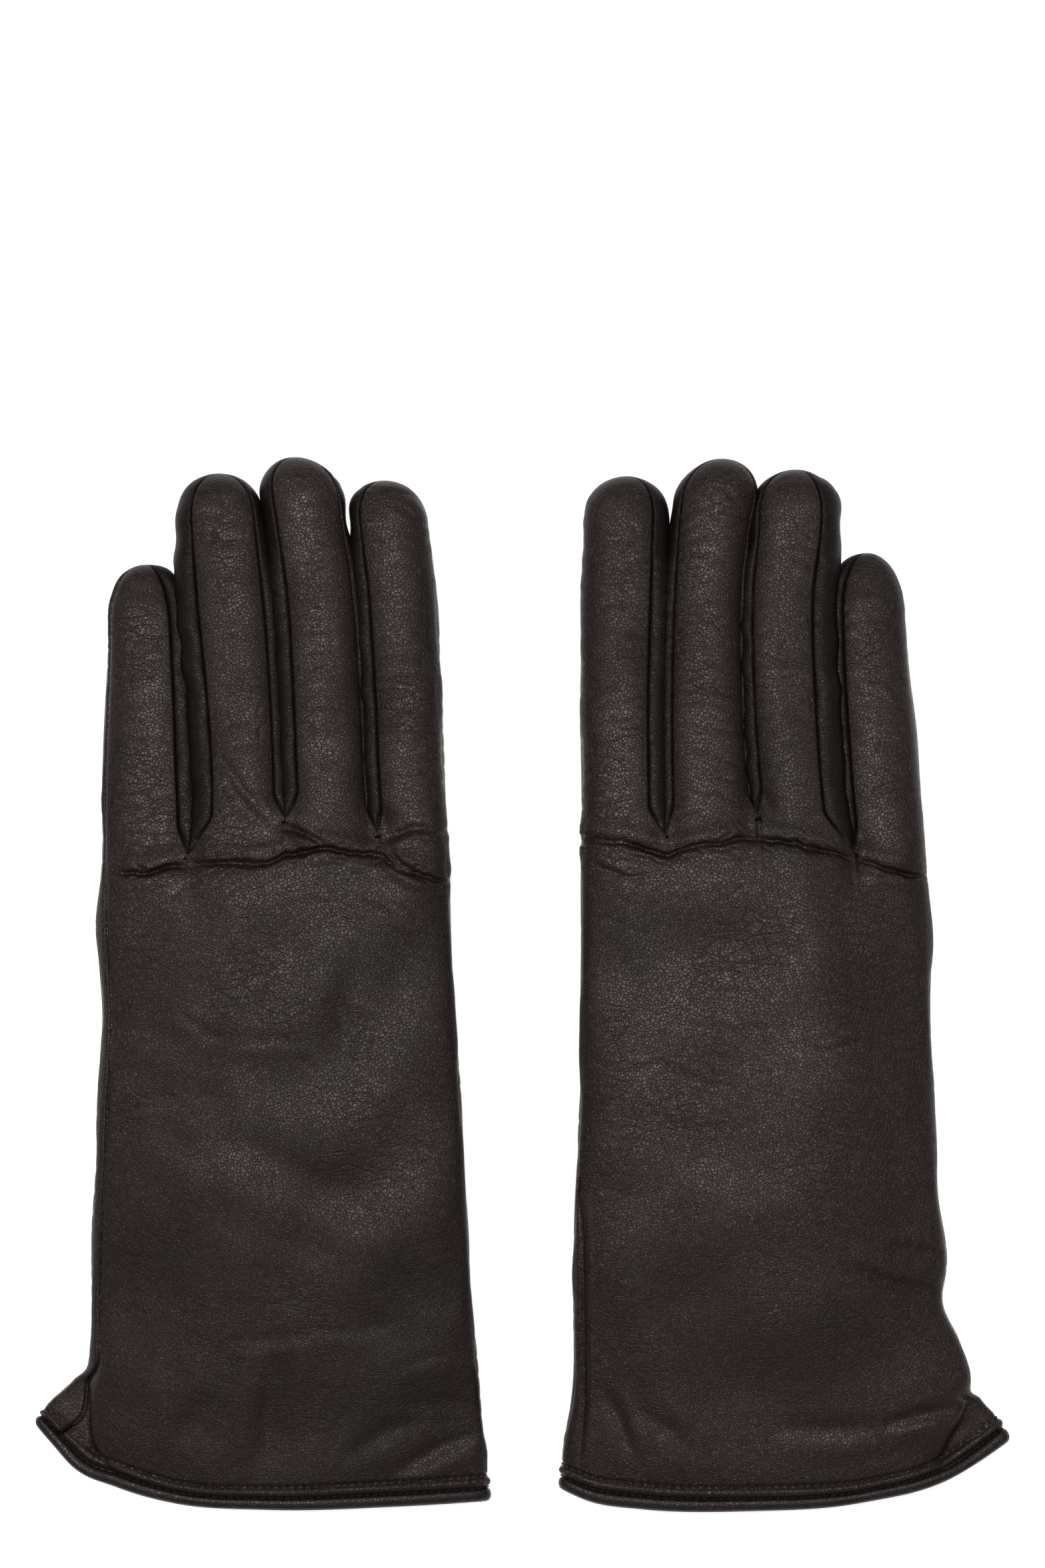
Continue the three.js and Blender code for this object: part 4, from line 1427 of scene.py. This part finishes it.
def thumb_ring(s, shrink):
    """Points of the thumb round its line at the distance s from its root."""
    angles = np.linspace(0, 2 * math.pi, 85)
    across, up = unit_ring(2.5, angles)
    half, thick = spline(THUMB_STATIONS, s), 4.35 - 0.8 * ease(20, 62, s)
    start, end = -THUMB_ROOT_RADIUS, THUMB_LENGTH
    if s < 0:
        half, thick = (v * math.sqrt(max(0, 1 - (s / start) ** p)) for v, p in ((half, 2), (thick, 6)))
    if s > end - THUMB_TIP:
        past = (s - end + THUMB_TIP) / THUMB_TIP
        half, thick = (v * math.sqrt(max(0, 1 - past**p)) for v, p in ((half, 2.2), (thick, 3)))
    line = np.array([-math.sin(THUMB_FOLD), math.cos(THUMB_FOLD), 0])
    outer = np.array([math.cos(THUMB_FOLD), math.sin(THUMB_FOLD), 0])
    height = 4.5 - 0.9 * ease(20, 62, s)
    centre = np.array([*THUMB_ROOT, height]) + line * s
    width = max(half - shrink, 0) * across[:, None] * outer
    return centre + width + max(thick - shrink, 0) * up[:, None] * np.array([0, 0, 1])


def thumb_grid(shrink):
    """All the thumb's rings, closing in on both ends."""
    ends = np.sin(np.linspace(0, math.pi / 2, 22))
    low = -THUMB_ROOT_RADIUS + THUMB_ROOT_RADIUS * (1 - ends[::-1])
    body = np.linspace(0, THUMB_LENGTH - THUMB_TIP, 58)[1:-1]
    high = THUMB_LENGTH - THUMB_TIP + THUMB_TIP * ends
    return np.array([thumb_ring(s, shrink) for s in np.concatenate([low, body, high])])


for side in OUTLINES:
    grid = thumb_grid(0.0)
    normals = -grid_normals(grid)
    normals[:, 0] = normals[:, -1] = normals[:, 0] + normals[:, -1]
    normals /= np.maximum(np.linalg.norm(normals, axis=-1, keepdims=True), 1e-9)
    seed = 61 if side == "left" else 67
    soft, _ = waves(grid[..., 0], grid[..., 1], seed, 14, 34)
    net = wrinkle_net(grid[..., 0], grid[..., 1], seed + 1, 6, 14, math.pi, 0.7)
    grid = grid + normals * (0.1 * soft - 0.14 * net)[..., None]
    rows = np.ones(len(grid))
    grid = roll_in(grid, normals, SEAM_RADIUS * rows, rows)
    grid = roll_in(grid[:, ::-1], normals[:, ::-1], SEAM_RADIUS * rows, rows)[:, ::-1]
    normals = -grid_normals(grid)
    made = grid_piece("thumb_bag", side, grid, normals, LEATHERS["trank"])
    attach(made, f"{side}_thumb")
    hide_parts(f"{side}_thumb_leather")
    inner = thumb_grid(THUMB_LINING_INSET)
    made = grid_piece("thumb_knit", side, inner, -grid_normals(inner), KNIT, "knit_lining", LINING)
    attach(made, f"{side}_thumb")
    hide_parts(f"{side}_thumb_lining")
print("pieces:", len(PIECES))

# %% [markdown]
# ## Studio
# The pair lies on white paper under one large soft light, seen straight from above through a
# long lens.

# %% Floor, light and camera
floor_mesh = bpy.data.meshes.new("floor")
bm = bmesh.new()
bmesh.ops.create_grid(bm, x_segments=1, y_segments=1, size=3)
bm.to_mesh(floor_mesh)
bm.free()
floor = bpy.data.objects.new("floor", floor_mesh)
bpy.context.collection.objects.link(floor)
paper = bpy.data.materials.new("paper")
paper.use_nodes = True
shader = paper.node_tree.nodes["Principled BSDF"]
shader.inputs["Base Color"].default_value = (0.9, 0.9, 0.9, 1)
shader.inputs["Roughness"].default_value = 0.9
shader.inputs["Emission Color"].default_value = (1, 1, 1, 1)
shader.inputs["Emission Strength"].default_value = 0.7
floor_mesh.materials.append(paper)


def softbox(name, place, size, power):
    """A rectangular soft light that points at the middle of the floor."""
    light = bpy.data.lights.new(name, "AREA")
    light.shape = "RECTANGLE"
    light.size, light.size_y = size
    light.energy = power
    lamp = bpy.data.objects.new(name, light)
    lamp.location = place
    lamp.rotation_euler = (Vector((0, 0, 0)) - Vector(place)).to_track_quat("-Z", "Y").to_euler()
    bpy.context.collection.objects.link(lamp)
    return lamp


softbox("top_light", (-0.12, 0.3, 1.9), (0.54, 0.46), 19.0)


def studio_sky(zenith, horizon):
    """A plain world that is bright overhead and dim at the horizon."""
    world = bpy.data.worlds.new("studio")
    world.use_nodes = True
    tree = world.node_tree
    place = node(tree, "ShaderNodeTexCoord")
    split = node(tree, "ShaderNodeSeparateXYZ")
    link(tree, place.outputs["Generated"], split.inputs[0])
    level = remap(tree, split.outputs["Z"], 0.0, 0.9, horizon, zenith)
    link(tree, level, tree.nodes["Background"].inputs["Strength"])
    tree.nodes["Background"].inputs["Color"].default_value = (1, 1, 1, 1)
    return world


bpy.context.scene.world = studio_sky(0.35, 0.12)
bpy.context.scene.view_settings.view_transform = "Standard"

VIEW_HEIGHT = 0.400
AIM_Y = 0.0508
LENS = 135
SENSOR = 36
BACKS_HEIGHT = 0.012  # the view's height is measured at the backs of the gloves
camera_data = bpy.data.cameras.new("camera")
camera_data.lens = LENS
camera_data.sensor_width = SENSOR
camera = bpy.data.objects.new("camera", camera_data)
camera.location = (0, AIM_Y, VIEW_HEIGHT * LENS / SENSOR + BACKS_HEIGHT)
bpy.context.collection.objects.link(camera)
bpy.context.scene.camera = camera
print("camera height:", round(camera.location.z, 3), "m")
